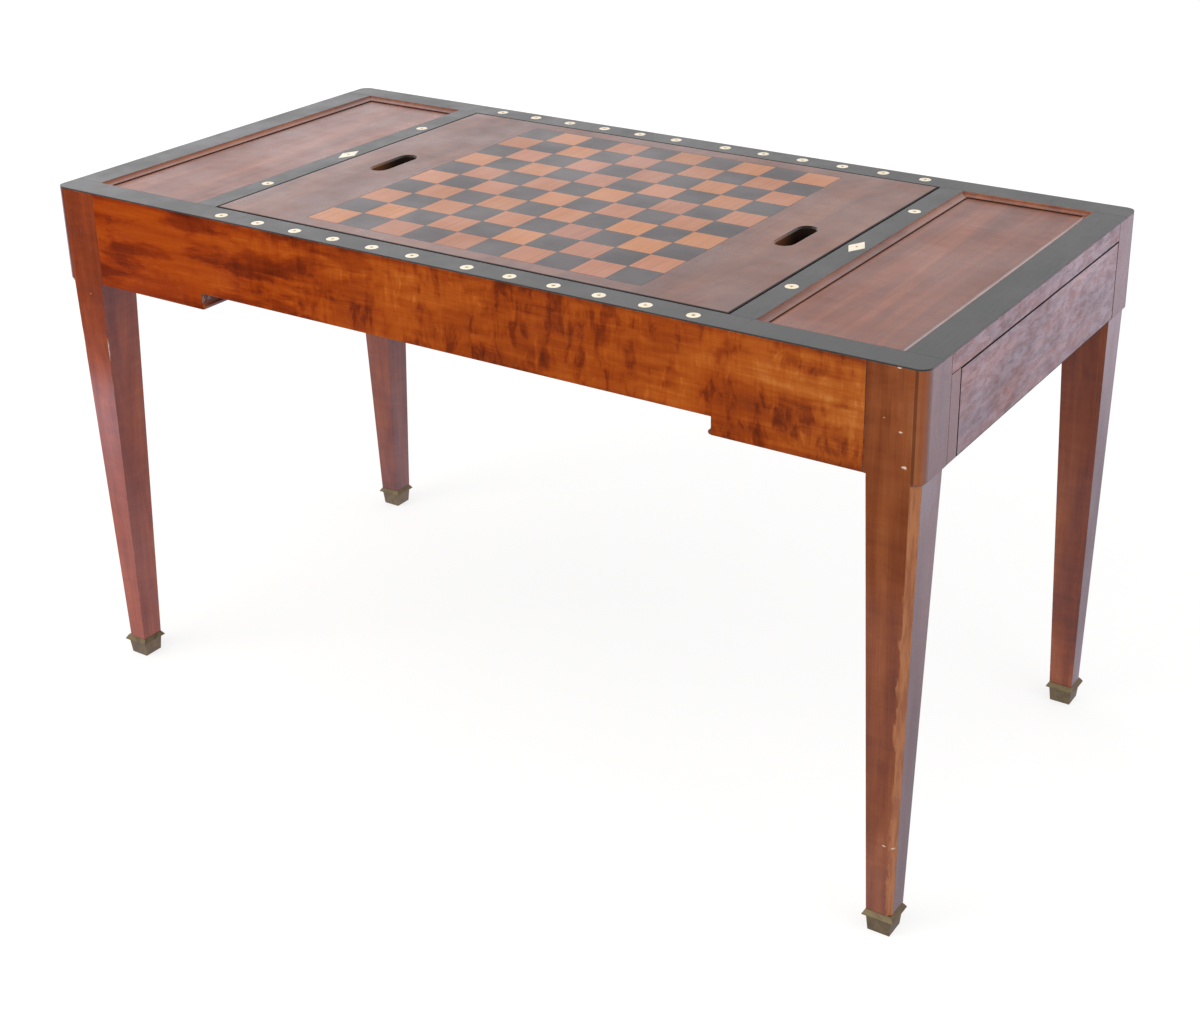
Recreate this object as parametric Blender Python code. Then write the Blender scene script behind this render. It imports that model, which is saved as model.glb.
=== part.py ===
# Tric trac table: an ebonised border round two end trays and a well for the game, a lift-out
# draughts panel over the well, two end drawers and four square-tapered legs in brass sabots.
# Metres, +Z up, +X along the length, the front at -Y, the origin on the floor under the middle.

import math

import bmesh
import bpy

# Driving sizes of the whole table
LENGTH = 1.220
DEPTH = 0.610
HEIGHT = 0.690

# Joints between pieces
GAP = 0.0003
OVERRUN = 0.004
ARC_STEPS = 6

# Frieze and carcass
FRIEZE = 0.1235
KNEE_STEP = 0.0213
RAIL = 0.022
POST_LENGTH = 0.0655
POST_DEPTH = 0.0595
WALL = 0.020
FLOOR = 0.010
CORNER_RADIUS = 0.013
LEG_INSET = 0.004

# Legs and sabots
LEG_TOP = 0.058
LEG_FOOT = 0.031
LEG_OUTER_TAPER = 0.010
LEG_CHAMFER = 0.009
LEG_SHOULDER = 0.0003
TENON_INSET = 0.0045
SABOT_HEIGHT = 0.028
SABOT_SOLE = 0.0032
SABOT_BASE_INSET = 0.002
SABOT_WAIST_INSET = 0.0003
SABOT_COVE_HEIGHT = 0.0026
SABOT_RIM = 0.0008
SABOT_SPLAY = 0.0056
SABOT_OVERHANG = 0.0036

# Ebonised border
VENEER = 0.0015
BORDER_SIDE = 0.0375
BORDER_END = 0.041
CROSS_STRIP = 0.0305

# Bone roundels, lozenges and their peg holes
SEAT = 0.001
PEG_RADIUS = 0.0015
PEG_DEPTH = 0.012
ROUNDEL_RADIUS = 0.0081
ROUNDELS_A_HALF = 6
ROUNDEL_ROW_INSET = 0.0165
ROUNDEL_FROM_MIDDLE = 0.0392
ROUNDEL_FROM_END = 0.0313
STRIP_ROW_INSET = 0.0145
STRIP_ROUNDEL_SPREAD = 0.1575
LOZENGE_LENGTH = 0.042
LOZENGE_WIDTH = 0.021
ROUNDEL_SIDES = 24
PEG_SIDES = 10

# Well
WELL_LENGTH = 0.734
LEDGE = 0.007
FOOT_MOULDING = 0.010
DIVIDER_WIDTH = 0.012
DIVIDER_HEIGHT = 0.013
POINT_SEAT = 0.0006
POINT_LENGTH = 0.185
POINT_BASE = 0.018
POINT_TIP = 0.0016
POINT_INSET = 0.002

# Draughts panel
PANEL = 0.016
PANEL_GAP = 0.0022
FIELD_VENEER = 0.0015
FIELD_MARGIN = 0.0249
SQUARES = 10
SQUARE_SEAT = 0.0006
SQUARE_LINE = 0.00025
SLOT_LENGTH = 0.080
SLOT_WIDTH = 0.023
SLOT_ARRIS = 0.0022

# Trays over the drawers
TRAY_DEPTH = 0.0055
TRAY_PANEL = 0.011
TRAY_MOULDING = 0.0098
TRAY_EDGE = 0.0005
TRAY_FILLET = 0.0010

# Moulding at the foot of each kneehole side
NOSE_RADIUS = 0.0030
NOSE_REACH = 0.0036
COVE_HEIGHT = 0.0046
COVE_STEPS = 5
KNEE_MOULDING_SETBACK = 0.0006

# Drawers
END_RAIL = 0.0245
STILE = 0.0235
REVEAL = 0.0012
DRAWER_FRONT = 0.020
DRAWER_SIDE = 0.010
DRAWER_BACK = 0.010
DRAWER_BOTTOM = 0.006
SIDE_INSET = 0.001
BACK_SPACE = 0.008
SIDE_DROP = 0.0015
BOTTOM_RISE = 0.0045
GROOVE = 0.004
TAIL_LENGTH = 0.013
TAILS = 3
TAIL_NECK_SHARE = 0.30
TAIL_TIP_SHARE = 0.38
RUNNER_HEIGHT = 0.033
RUNNER_LEDGE = 0.007
RUNNER_LEDGE_WIDTH = 0.014
RUNNER_PLAY = 0.0008
KICKER_WIDTH = 0.018

# Places that several pieces share
HALF_LENGTH = LENGTH / 2
HALF_DEPTH = DEPTH / 2
HALF_WELL = WELL_LENGTH / 2
CARCASS_TOP = HEIGHT - VENEER - GAP
FRIEZE_BOTTOM = HEIGHT - FRIEZE
KNEE_TOP = FRIEZE_BOTTOM + KNEE_STEP
RAIL_INSIDE = HALF_DEPTH - RAIL
END_INSIDE = HALF_LENGTH - RAIL
OPENING_SIDE = HALF_DEPTH - BORDER_SIDE
TRAY_START = HALF_WELL + CROSS_STRIP
TRAY_END = HALF_LENGTH - BORDER_END
POST_INSIDE_X = HALF_LENGTH - POST_LENGTH
POST_INSIDE_Y = HALF_DEPTH - POST_DEPTH
TRAY_TOP = HEIGHT - TRAY_DEPTH
TRAY_UNDER = TRAY_TOP - TRAY_PANEL
WALL_OUTSIDE = HALF_WELL + WALL
FLOOR_UNDER = KNEE_TOP + GAP
FLOOR_TOP = FLOOR_UNDER + FLOOR
LEDGE_TOP = HEIGHT - PANEL - GAP
WELL_INSIDE_X = HALF_WELL - LEDGE
WELL_INSIDE_Y = OPENING_SIDE - LEDGE
ROUNDEL_ROW = HALF_DEPTH - ROUNDEL_ROW_INSET
STRIP_ROW = HALF_WELL + STRIP_ROW_INSET
PANEL_HALF_X = HALF_WELL - PANEL_GAP
PANEL_HALF_Y = OPENING_SIDE - PANEL_GAP
FIELD_HALF = PANEL_HALF_Y - FIELD_MARGIN
SLOT_PLACE = (FIELD_HALF + PANEL_HALF_X) / 2
DRAWER_TOP = HEIGHT - END_RAIL
DRAWER_NEAR = -POST_INSIDE_Y + STILE
DRAWER_FAR = POST_INSIDE_Y
RUNNER_TOP = FRIEZE_BOTTOM + RUNNER_LEDGE
SIDE_NEAR = DRAWER_NEAR + REVEAL + SIDE_INSET
SIDE_FAR = DRAWER_FAR - REVEAL - SIDE_INSET
SIDE_BOTTOM = RUNNER_TOP + GAP
SIDE_TOP = DRAWER_TOP - REVEAL - SIDE_DROP
FRONT_INSIDE = HALF_LENGTH - DRAWER_FRONT
BACK_OUTSIDE = WALL_OUTSIDE + BACK_SPACE
GROOVE_BOTTOM = SIDE_BOTTOM + BOTTOM_RISE
GROOVE_TOP = GROOVE_BOTTOM + DRAWER_BOTTOM + GAP + GAP


def roundel_places():
    """The x of each roundel in a long row, and of each point below it."""
    pitch = (HALF_WELL - ROUNDEL_FROM_END - ROUNDEL_FROM_MIDDLE) / (ROUNDELS_A_HALF - 1)
    right = [ROUNDEL_FROM_MIDDLE + pitch * k for k in range(ROUNDELS_A_HALF)]
    return [-x for x in reversed(right)] + right


def clear_scene():
    for item in list(bpy.data.objects):
        bpy.data.objects.remove(item, do_unlink=True)


def make_material(name, color, roughness, metallic=0.0):
    material = bpy.data.materials.new(name)
    material.use_nodes = True
    shader = material.node_tree.nodes["Principled BSDF"]
    shader.inputs["Base Color"].default_value = (*color, 1.0)
    shader.inputs["Roughness"].default_value = roughness
    shader.inputs["Metallic"].default_value = metallic
    return material


def make_materials():
    return {
        "frieze": make_material("figured_mahogany", (0.30, 0.075, 0.018), 0.30),
        "leg": make_material("leg_mahogany", (0.22, 0.060, 0.022), 0.38),
        "panel": make_material("panel_mahogany", (0.20, 0.070, 0.042), 0.33),
        "carcass": make_material("carcass_oak", (0.34, 0.20, 0.10), 0.65),
        "ebony": make_material("ebonised_border", (0.020, 0.021, 0.022), 0.30),
        "lacquer": make_material("black_lacquer", (0.008, 0.008, 0.009), 0.12),
        "bone": make_material("bone", (0.80, 0.72, 0.52), 0.40),
        "brass": make_material("aged_brass", (0.30, 0.22, 0.11), 0.42, 1.0),
    }


def make_empty(name, turn=0.0):
    empty = bpy.data.objects.new(name, None)
    bpy.context.collection.objects.link(empty)
    empty.rotation_euler.z = turn
    return empty


def place(name, shape, material, parent=None, smooth=False):
    """Turns a bmesh into an object whose origin is at the middle of the shape."""
    bmesh.ops.recalc_face_normals(shape, faces=shape.faces)
    low = [min(v.co[axis] for v in shape.verts) for axis in range(3)]
    high = [max(v.co[axis] for v in shape.verts) for axis in range(3)]
    middle = [(a + b) / 2 for a, b in zip(low, high)]
    bmesh.ops.translate(shape, verts=shape.verts, vec=[-value for value in middle])
    mesh = bpy.data.meshes.new(name)
    shape.to_mesh(mesh)
    shape.free()
    if smooth:
        mesh.shade_smooth()
        mesh.set_sharp_from_angle(angle=math.radians(30))
    item = bpy.data.objects.new(name, mesh)
    bpy.context.collection.objects.link(item)
    item.location = middle
    item.parent = parent
    if material is not None:
        mesh.materials.append(material)
    return item


def cut(item, name, shape):
    """Takes the shape away from the item; the cutter stays as a wire guide."""
    cutter = place(name, shape, None, item.parent)
    cutter.hide_render = True
    cutter.display_type = "WIRE"
    modifier = item.modifiers.new(name, "BOOLEAN")
    modifier.operation = "DIFFERENCE"
    modifier.solver = "EXACT"
    modifier.object = cutter


def add_loft(shape, rings, closed=False):
    """Joins rings of equal length by quads, and caps the ends unless the loft closes on itself."""
    rows = [[shape.verts.new(point) for point in ring] for ring in rings]
    count = len(rows[0])
    pairs = list(zip(rows, rows[1:]))
    if closed:
        pairs.append((rows[-1], rows[0]))
    else:
        shape.faces.new(list(reversed(rows[0])))
        shape.faces.new(rows[-1])
    for lower, upper in pairs:
        for k in range(count):
            after = (k + 1) % count
            shape.faces.new((lower[k], lower[after], upper[after], upper[k]))
    return shape


def add_prism(shape, outline, axis, low, high):
    """Carries an outline in the plane across the axis from low to high."""
    along = {"x": lambda p, t: (t, p[0], p[1]),
             "y": lambda p, t: (p[0], t, p[1]),
             "z": lambda p, t: (p[0], p[1], t)}[axis]
    rings = [[along(point, t) for point in outline] for t in (low, high)]
    return add_loft(shape, rings)


def prism(outline, axis, low, high):
    return add_prism(bmesh.new(), outline, axis, low, high)


def rectangle(x0, x1, y0, y1):
    return [(x0, y0), (x1, y0), (x1, y1), (x0, y1)]


def add_block(shape, x0, x1, y0, y1, z0, z1):
    return add_prism(shape, rectangle(x0, x1, y0, y1), "z", z0, z1)


def block(x0, x1, y0, y1, z0, z1):
    return add_block(bmesh.new(), x0, x1, y0, y1, z0, z1)


def arc(center, radius, start, end, steps=ARC_STEPS):
    """Points on an arc, with both of its ends, in degrees."""
    angles = [math.radians(start + (end - start) * k / steps) for k in range(steps + 1)]
    return [(center[0] + radius * math.cos(a), center[1] + radius * math.sin(a)) for a in angles]


def circle(center, radius, sides):
    return arc(center, radius, 0, 360, sides)[:-1]


def corner_section(x_in, x_out, y_in, y_out, corner):
    """A rectangle with its outer corner, at x_out and y_out, cut back along the given points."""
    sx = math.copysign(1, x_out)
    sy = math.copysign(1, y_out)
    eased = [(x_out - sx * back_x, y_out - sy * back_y) for back_x, back_y in corner]
    return [(x_in, y_in), (x_out, y_in)] + eased + [(x_in, y_out)]


def round_corner(radius):
    """Distances back from both faces along a quarter round, from the end face to the front."""
    return [(radius - x, radius - y) for x, y in arc((0.0, 0.0), radius, 0, 90)]


def flat_corner(width):
    """The same along a flat chamfer, with as many points as the round."""
    return [(width * k / ARC_STEPS, width * (1 - k / ARC_STEPS)) for k in range(ARC_STEPS + 1)]


def make_leg(name, sx, sy, material):
    """One length of wood: the corner block of the frieze and the tapered leg below it."""
    block_x = (sx * (POST_INSIDE_X + GAP), sx * HALF_LENGTH)
    block_y = (sy * (POST_INSIDE_Y + GAP), sy * HALF_DEPTH)
    top_x = HALF_LENGTH - LEG_INSET
    leg_x = (sx * (top_x - LEG_TOP), sx * top_x)
    leg_y = (sy * (HALF_DEPTH - LEG_TOP), sy * HALF_DEPTH)
    foot_x = top_x - LEG_OUTER_TAPER
    foot_y = HALF_DEPTH - LEG_OUTER_TAPER
    foot_spans = ((sx * (foot_x - LEG_FOOT), sx * foot_x), (sy * (foot_y - LEG_FOOT), sy * foot_y))
    rounded = round_corner(CORNER_RADIUS)
    foot_chamfer = flat_corner(LEG_CHAMFER * LEG_FOOT / LEG_TOP)
    sections = [
        (CARCASS_TOP, corner_section(*block_x, *block_y, rounded)),
        (FRIEZE_BOTTOM, corner_section(*block_x, *block_y, rounded)),
        (FRIEZE_BOTTOM - LEG_SHOULDER,
         corner_section(leg_x[0], block_x[1], leg_y[0], block_y[1], rounded)),
        (FRIEZE_BOTTOM - LEG_INSET, corner_section(*leg_x, *leg_y, flat_corner(LEG_CHAMFER))),
        (SABOT_HEIGHT + GAP, corner_section(*foot_spans[0], *foot_spans[1], foot_chamfer)),
    ]
    shape = bmesh.new()
    add_loft(shape, [[(x, y, z) for x, y in outline] for z, outline in reversed(sections)])
    leg = place(name, shape, material, smooth=True)
    # The tenon goes down into the sabot
    tenon_half = LEG_FOOT / 2 - TENON_INSET
    center_x = sx * (foot_x - LEG_FOOT / 2)
    center_y = sy * (foot_y - LEG_FOOT / 2)
    tenon = place(name + "_tenon", block(
        center_x - tenon_half, center_x + tenon_half, center_y - tenon_half, center_y + tenon_half,
        SABOT_SOLE + GAP, SABOT_HEIGHT + OVERRUN), None)
    tenon.hide_render = True
    tenon.display_type = "WIRE"
    joined = leg.modifiers.new("tenon", "BOOLEAN")
    joined.operation = "UNION"
    joined.solver = "EXACT"
    joined.object = tenon
    # Inside the frieze the block is cut down to let the tray's board pass over it
    xs = sorted((sx * (POST_INSIDE_X - OVERRUN), sx * END_INSIDE))
    ys = sorted((sy * (POST_INSIDE_Y - OVERRUN), sy * RAIL_INSIDE))
    cut(leg, name + "_housing", block(*xs, *ys, TRAY_UNDER - GAP, CARCASS_TOP + OVERRUN))


def make_sabot(name, sx, sy, material):
    """A brass cup: straight tapered sides, a short cove, a splayed rim over it, and a socket."""
    center_x = sx * (HALF_LENGTH - LEG_INSET - LEG_OUTER_TAPER - LEG_FOOT / 2)
    center_y = sy * (HALF_DEPTH - LEG_OUTER_TAPER - LEG_FOOT / 2)
    foot = LEG_FOOT / 2
    rim = foot + SABOT_OVERHANG
    waist = foot - SABOT_WAIST_INSET
    cove_top = SABOT_HEIGHT - SABOT_SPLAY - SABOT_RIM
    cove = [(waist + (rim - waist) * (1 - math.cos(math.radians(a))),
             cove_top - SABOT_COVE_HEIGHT * (1 - math.sin(math.radians(a))))
            for a in range(0, 91, 18)]
    socket = foot - TENON_INSET + GAP
    profile = [(foot - SABOT_BASE_INSET, 0.0)] + cove
    profile += [(rim, cove_top + SABOT_RIM), (foot, SABOT_HEIGHT), (socket, SABOT_HEIGHT),
                (socket, SABOT_SOLE)]
    rings = []
    for half, z in profile:
        corners = rectangle(center_x - half, center_x + half, center_y - half, center_y + half)
        rings.append([(x, y, z) for x, y in corners])
    place(name, add_loft(bmesh.new(), rings), material, smooth=True)


def peg_holes(places, bottom):
    """Round holes for the markers' pegs, from bottom up past the top of the table."""
    shape = bmesh.new()
    for spot in places:
        add_prism(shape, circle(spot, PEG_RADIUS, PEG_SIDES), "z", bottom, HEIGHT + OVERRUN)
    return shape


def make_long_rail(name, sy, material):
    """Front or back rail of the frieze, raised in the middle to clear the knees."""
    end = POST_INSIDE_X - GAP
    outline = [(-end, FRIEZE_BOTTOM), (-HALF_WELL, FRIEZE_BOTTOM), (-HALF_WELL, KNEE_TOP),
               (HALF_WELL, KNEE_TOP), (HALF_WELL, FRIEZE_BOTTOM), (end, FRIEZE_BOTTOM),
               (end, CARCASS_TOP), (-end, CARCASS_TOP)]
    faces = sorted((sy * RAIL_INSIDE, sy * HALF_DEPTH))
    rail = place(name, prism(outline, "y", *faces), material)
    spots = [(x, sy * ROUNDEL_ROW) for x in roundel_places()]
    cut(rail, name + "_peg_holes", peg_holes(spots, CARCASS_TOP - PEG_DEPTH))


def make_end(side, parent, materials):
    """The fixed pieces of one end, drawn at the right end; the left one is the same, turned."""
    post_reach = POST_INSIDE_Y - GAP
    board_reach = RAIL_INSIDE - GAP
    place("end_rail_" + side, block(END_INSIDE, HALF_LENGTH, -post_reach, post_reach,
                                    DRAWER_TOP, CARCASS_TOP), materials["frieze"], parent)
    place("end_stile_" + side, block(END_INSIDE, HALF_LENGTH, -post_reach, DRAWER_NEAR,
                                     FRIEZE_BOTTOM, DRAWER_TOP - GAP), materials["frieze"], parent)
    wall = place("compartment_wall_" + side, block(HALF_WELL, WALL_OUTSIDE, -board_reach, board_reach,
                                                   FRIEZE_BOTTOM, CARCASS_TOP),
                 materials["leg"], parent)
    spots = [(STRIP_ROW, y) for y in (-STRIP_ROUNDEL_SPREAD, 0.0, STRIP_ROUNDEL_SPREAD)]
    cut(wall, "wall_peg_holes_" + side, peg_holes(spots, CARCASS_TOP - PEG_DEPTH))
    place("tray_panel_" + side, block(WALL_OUTSIDE + GAP, END_INSIDE - GAP, -board_reach, board_reach,
                                      TRAY_UNDER, TRAY_TOP), materials["panel"], parent)
    make_tray_moulding(side, parent, materials["panel"])
    make_kneehole_moulding(side, parent, materials["leg"])
    make_runners(side, parent, materials["carcass"])
    make_kickers(side, parent, materials["carcass"])


def make_tray_moulding(side, parent, material):
    """Mitred frame on the tray's board: it runs under the border and shows as a cove inside it."""
    outer = (WALL_OUTSIDE + GAP, END_INSIDE - GAP, -RAIL_INSIDE + GAP, RAIL_INSIDE - GAP)
    opening = (TRAY_START + GAP, TRAY_END - GAP, -OPENING_SIDE + GAP, OPENING_SIDE - GAP)
    base = TRAY_TOP + GAP
    # Each entry is how far the frame's face stands in from the opening's edge, and its height
    drop = HEIGHT - base - TRAY_FILLET
    reach = TRAY_MOULDING - TRAY_EDGE
    cove = [(TRAY_EDGE + reach * (1 - math.cos(math.radians(a))),
             HEIGHT - drop * math.sin(math.radians(a))) for a in range(0, 91, 15)]
    rings = [(outer, 0.0, base), (outer, 0.0, CARCASS_TOP), (opening, 0.0, CARCASS_TOP),
             (opening, 0.0, HEIGHT)]
    rings += [(opening, inset, z) for inset, z in cove] + [(opening, TRAY_MOULDING, base)]
    shape = bmesh.new()
    loops = []
    for (x0, x1, y0, y1), inset, z in rings:
        corners = rectangle(x0 + inset, x1 - inset, y0 + inset, y1 - inset)
        loops.append([(x, y, z) for x, y in corners])
    add_loft(shape, loops, closed=True)
    place("tray_moulding_" + side, shape, material, parent, smooth=True)


def make_kneehole_moulding(side, parent, material):
    """A nosing under a cove, run from front to back at the foot of the compartment's wall."""
    back = HALF_WELL - GAP
    center = (back - NOSE_REACH + NOSE_RADIUS, FRIEZE_BOTTOM + NOSE_RADIUS)
    nose = arc(center, NOSE_RADIUS, 270, 135)
    shelf_x, shelf_z = nose[-1]
    turns = [math.radians(90 * k / COVE_STEPS) for k in range(1, COVE_STEPS + 1)]
    cove = [(shelf_x + (back - shelf_x) * math.sin(a), shelf_z + COVE_HEIGHT * (1 - math.cos(a)))
            for a in turns]
    reach = HALF_DEPTH - KNEE_MOULDING_SETBACK
    place("kneehole_moulding_" + side, prism([(back, FRIEZE_BOTTOM)] + nose + cove, "y", -reach, reach),
          material, parent, smooth=True)


def make_runners(side, parent, material):
    """Strips inside the long rails that guide the drawer's sides and carry their lower edges."""
    start = WALL_OUTSIDE + GAP
    end = POST_INSIDE_X - GAP
    for where, outside, guide, inward in (
            ("near", -RAIL_INSIDE + GAP, SIDE_NEAR - RUNNER_PLAY, 1),
            ("far", RAIL_INSIDE - GAP, SIDE_FAR + RUNNER_PLAY, -1)):
        lip = guide + inward * RUNNER_LEDGE_WIDTH
        top = FRIEZE_BOTTOM + RUNNER_HEIGHT
        outline = [(outside, FRIEZE_BOTTOM), (lip, FRIEZE_BOTTOM), (lip, RUNNER_TOP),
                   (guide, RUNNER_TOP), (guide, top), (outside, top)]
        place("drawer_runner_%s_%s" % (side, where), prism(outline, "x", start, end),
              material, parent)


def make_kickers(side, parent, material):
    """Strips under the tray's board that stop the drawer from tipping as it comes out."""
    for where, y0 in (("near", SIDE_NEAR), ("far", SIDE_FAR - KICKER_WIDTH)):
        place("drawer_kicker_%s_%s" % (side, where),
              block(WALL_OUTSIDE + GAP, END_INSIDE - GAP, y0, y0 + KICKER_WIDTH,
                    DRAWER_TOP, TRAY_UNDER - GAP), material, parent)


def tail_corners(neck_x, tip_x, low, high, clearance=0.0, beyond=0.0):
    """The four corners of each dovetail, from the lowest up, clearer or longer for a socket."""
    pitch = (high - low) / TAILS
    flare = pitch * (TAIL_TIP_SHARE - TAIL_NECK_SHARE) / abs(tip_x - neck_x)
    end_x = tip_x + math.copysign(beyond, tip_x - neck_x)
    for k in range(TAILS):
        middle = low + pitch * (k + 0.5)
        neck = pitch * TAIL_NECK_SHARE + clearance
        tip = pitch * TAIL_TIP_SHARE + clearance + flare * beyond
        yield [(neck_x, middle - neck), (end_x, middle - tip),
               (end_x, middle + tip), (neck_x, middle + neck)]


def add_sockets(shape, neck_x, tip_x, beyond, low, high, y0, y1):
    """Sockets for a row of tails, open past their necks and cut beyond their tips."""
    mouth_x = neck_x - math.copysign(OVERRUN, tip_x - neck_x)
    for near_low, tip_low, tip_high, near_high in tail_corners(neck_x, tip_x, low, high, GAP, beyond):
        outline = [(mouth_x, near_low[1]), near_low, tip_low, tip_high, near_high,
                   (mouth_x, near_high[1])]
        add_prism(shape, outline, "y", y0, y1)
    return shape


def make_drawer(side, parent, materials):
    """A dovetailed box: lapped tails at the front, through tails at the back, a grooved bottom."""
    front_neck = FRONT_INSIDE - GAP
    front_tip = FRONT_INSIDE + TAIL_LENGTH
    back_inside = BACK_OUTSIDE + DRAWER_BACK
    back_bottom = GROOVE_TOP
    near_end = DRAWER_NEAR + REVEAL
    far_end = DRAWER_FAR - REVEAL
    inner_near = SIDE_NEAR + DRAWER_SIDE
    inner_far = SIDE_FAR - DRAWER_SIDE
    bottom_near = inner_near - GROOVE + GAP
    bottom_far = inner_far + GROOVE - GAP

    front = place("drawer_front_" + side,
                  block(FRONT_INSIDE, HALF_LENGTH, near_end, far_end,
                        FRIEZE_BOTTOM, DRAWER_TOP - REVEAL), materials["frieze"], parent)
    sockets = bmesh.new()
    for y0, y1 in ((near_end - OVERRUN, inner_near + GAP), (inner_far - GAP, far_end + OVERRUN)):
        add_sockets(sockets, front_neck, front_tip, GAP, SIDE_BOTTOM, SIDE_TOP, y0, y1)
    cut(front, "front_sockets_" + side, sockets)
    cut(front, "front_groove_" + side,
        block(FRONT_INSIDE - OVERRUN, FRONT_INSIDE + GROOVE, bottom_near - GAP, bottom_far + GAP,
              GROOVE_BOTTOM, GROOVE_TOP))

    back = place("drawer_back_" + side,
                 block(BACK_OUTSIDE, back_inside, SIDE_NEAR, SIDE_FAR, back_bottom + GAP, SIDE_TOP),
                 materials["carcass"], parent)
    sockets = bmesh.new()
    for y0, y1 in ((SIDE_NEAR - OVERRUN, inner_near + GAP), (inner_far - GAP, SIDE_FAR + OVERRUN)):
        add_sockets(sockets, back_inside + GAP, BACK_OUTSIDE, OVERRUN, back_bottom, SIDE_TOP, y0, y1)
    cut(back, "back_sockets_" + side, sockets)

    outline = [(BACK_OUTSIDE, SIDE_BOTTOM), (front_neck, SIDE_BOTTOM)]
    for corners in tail_corners(front_neck, front_tip, SIDE_BOTTOM, SIDE_TOP):
        outline += corners
    outline += [(front_neck, SIDE_TOP), (back_inside + GAP, SIDE_TOP)]
    neck = back_inside + GAP
    for corners in reversed(list(tail_corners(neck, BACK_OUTSIDE, back_bottom, SIDE_TOP))):
        outline += list(reversed(corners))
    outline += [(neck, back_bottom), (BACK_OUTSIDE, back_bottom)]
    for where, y0, groove_y in (("near", SIDE_NEAR, (inner_near - GROOVE, inner_near + OVERRUN)),
                                ("far", inner_far, (inner_far - OVERRUN, inner_far + GROOVE))):
        board = place("drawer_side_%s_%s" % (side, where),
                      prism(outline, "y", y0, y0 + DRAWER_SIDE), materials["carcass"], parent)
        cut(board, "side_groove_%s_%s" % (side, where),
            block(BACK_OUTSIDE - OVERRUN, HALF_LENGTH, *groove_y, GROOVE_BOTTOM, GROOVE_TOP))

    place("drawer_bottom_" + side,
          block(BACK_OUTSIDE, FRONT_INSIDE + GROOVE - GAP, bottom_near, bottom_far,
                GROOVE_BOTTOM + GAP, GROOVE_TOP - GAP), materials["carcass"], parent)


def make_long_border(name, sy, material):
    """Front or back strip of the ebonised border, with its roundels' seats and peg holes."""
    quarter_right = arc((HALF_LENGTH - CORNER_RADIUS, HALF_DEPTH - CORNER_RADIUS),
                        CORNER_RADIUS, 0, 90)
    outer = quarter_right + [(-x, y) for x, y in reversed(quarter_right)]
    outline = [(HALF_LENGTH, OPENING_SIDE)] + outer + [(-HALF_LENGTH, OPENING_SIDE)]
    outline = [(x, sy * y) for x, y in outline]
    strip = place(name, prism(outline, "z", HEIGHT - VENEER, HEIGHT), material)
    spots = [(x, sy * ROUNDEL_ROW) for x in roundel_places()]
    cut(strip, name + "_seats", roundel_seats(spots))


def roundel_seats(spots):
    """For each spot a peg hole that opens into a shallow round seat, as one turned cutter."""
    shape = bmesh.new()
    for x, y in spots:
        profile = ((PEG_RADIUS, HEIGHT - VENEER - OVERRUN), (PEG_RADIUS, HEIGHT - SEAT),
                   (ROUNDEL_RADIUS, HEIGHT - SEAT), (ROUNDEL_RADIUS, HEIGHT + OVERRUN))
        rings = [[(px, py, z) for px, py in circle((x, y), radius, ROUNDEL_SIDES)]
                 for radius, z in profile]
        add_loft(shape, rings)
    return shape


def lozenge_outline(x, y, margin=0.0):
    """The four corners of a lozenge, whose long diagonal runs from front to back."""
    long_half = LOZENGE_LENGTH / 2 + margin
    short_half = LOZENGE_WIDTH / 2 + margin
    return [(x + short_half, y), (x, y + long_half), (x - short_half, y), (x, y - long_half)]


def make_end_border(side, parent, materials):
    """The end strip and the cross strip of the border, and the bone lozenge in the cross strip."""
    reach = OPENING_SIDE - GAP
    place("border_end_" + side, block(TRAY_END, HALF_LENGTH, -reach, reach, HEIGHT - VENEER, HEIGHT),
          materials["ebony"], parent)
    strip = place("border_cross_" + side, block(HALF_WELL, TRAY_START, -reach, reach,
                                                HEIGHT - VENEER, HEIGHT), materials["ebony"], parent)
    spots = [(STRIP_ROW, -STRIP_ROUNDEL_SPREAD), (STRIP_ROW, STRIP_ROUNDEL_SPREAD)]
    cut(strip, "cross_seats_" + side, roundel_seats(spots))
    center = (STRIP_ROW, 0.0)
    seat = prism(lozenge_outline(*center, GAP), "z", HEIGHT - SEAT, HEIGHT + OVERRUN)
    cut(strip, "lozenge_seat_" + side, seat)
    cut(strip, "lozenge_peg_" + side, peg_holes([center], HEIGHT - VENEER - OVERRUN))
    lozenge = place("bone_lozenge_" + side,
                    prism(lozenge_outline(*center), "z", HEIGHT - SEAT + GAP, HEIGHT),
                    materials["bone"], parent)
    cut(lozenge, "lozenge_hole_" + side, peg_holes([center], HEIGHT - VENEER - OVERRUN))


def point_outline(x, sy):
    """A long narrow point: its base near the wall, its tip towards the middle of the well."""
    base = WELL_INSIDE_Y - FOOT_MOULDING - POINT_INSET
    tip = base - POINT_LENGTH
    return [(x - POINT_BASE / 2, sy * base), (x - POINT_TIP / 2, sy * tip),
            (x + POINT_TIP / 2, sy * tip), (x + POINT_BASE / 2, sy * base)]


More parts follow.
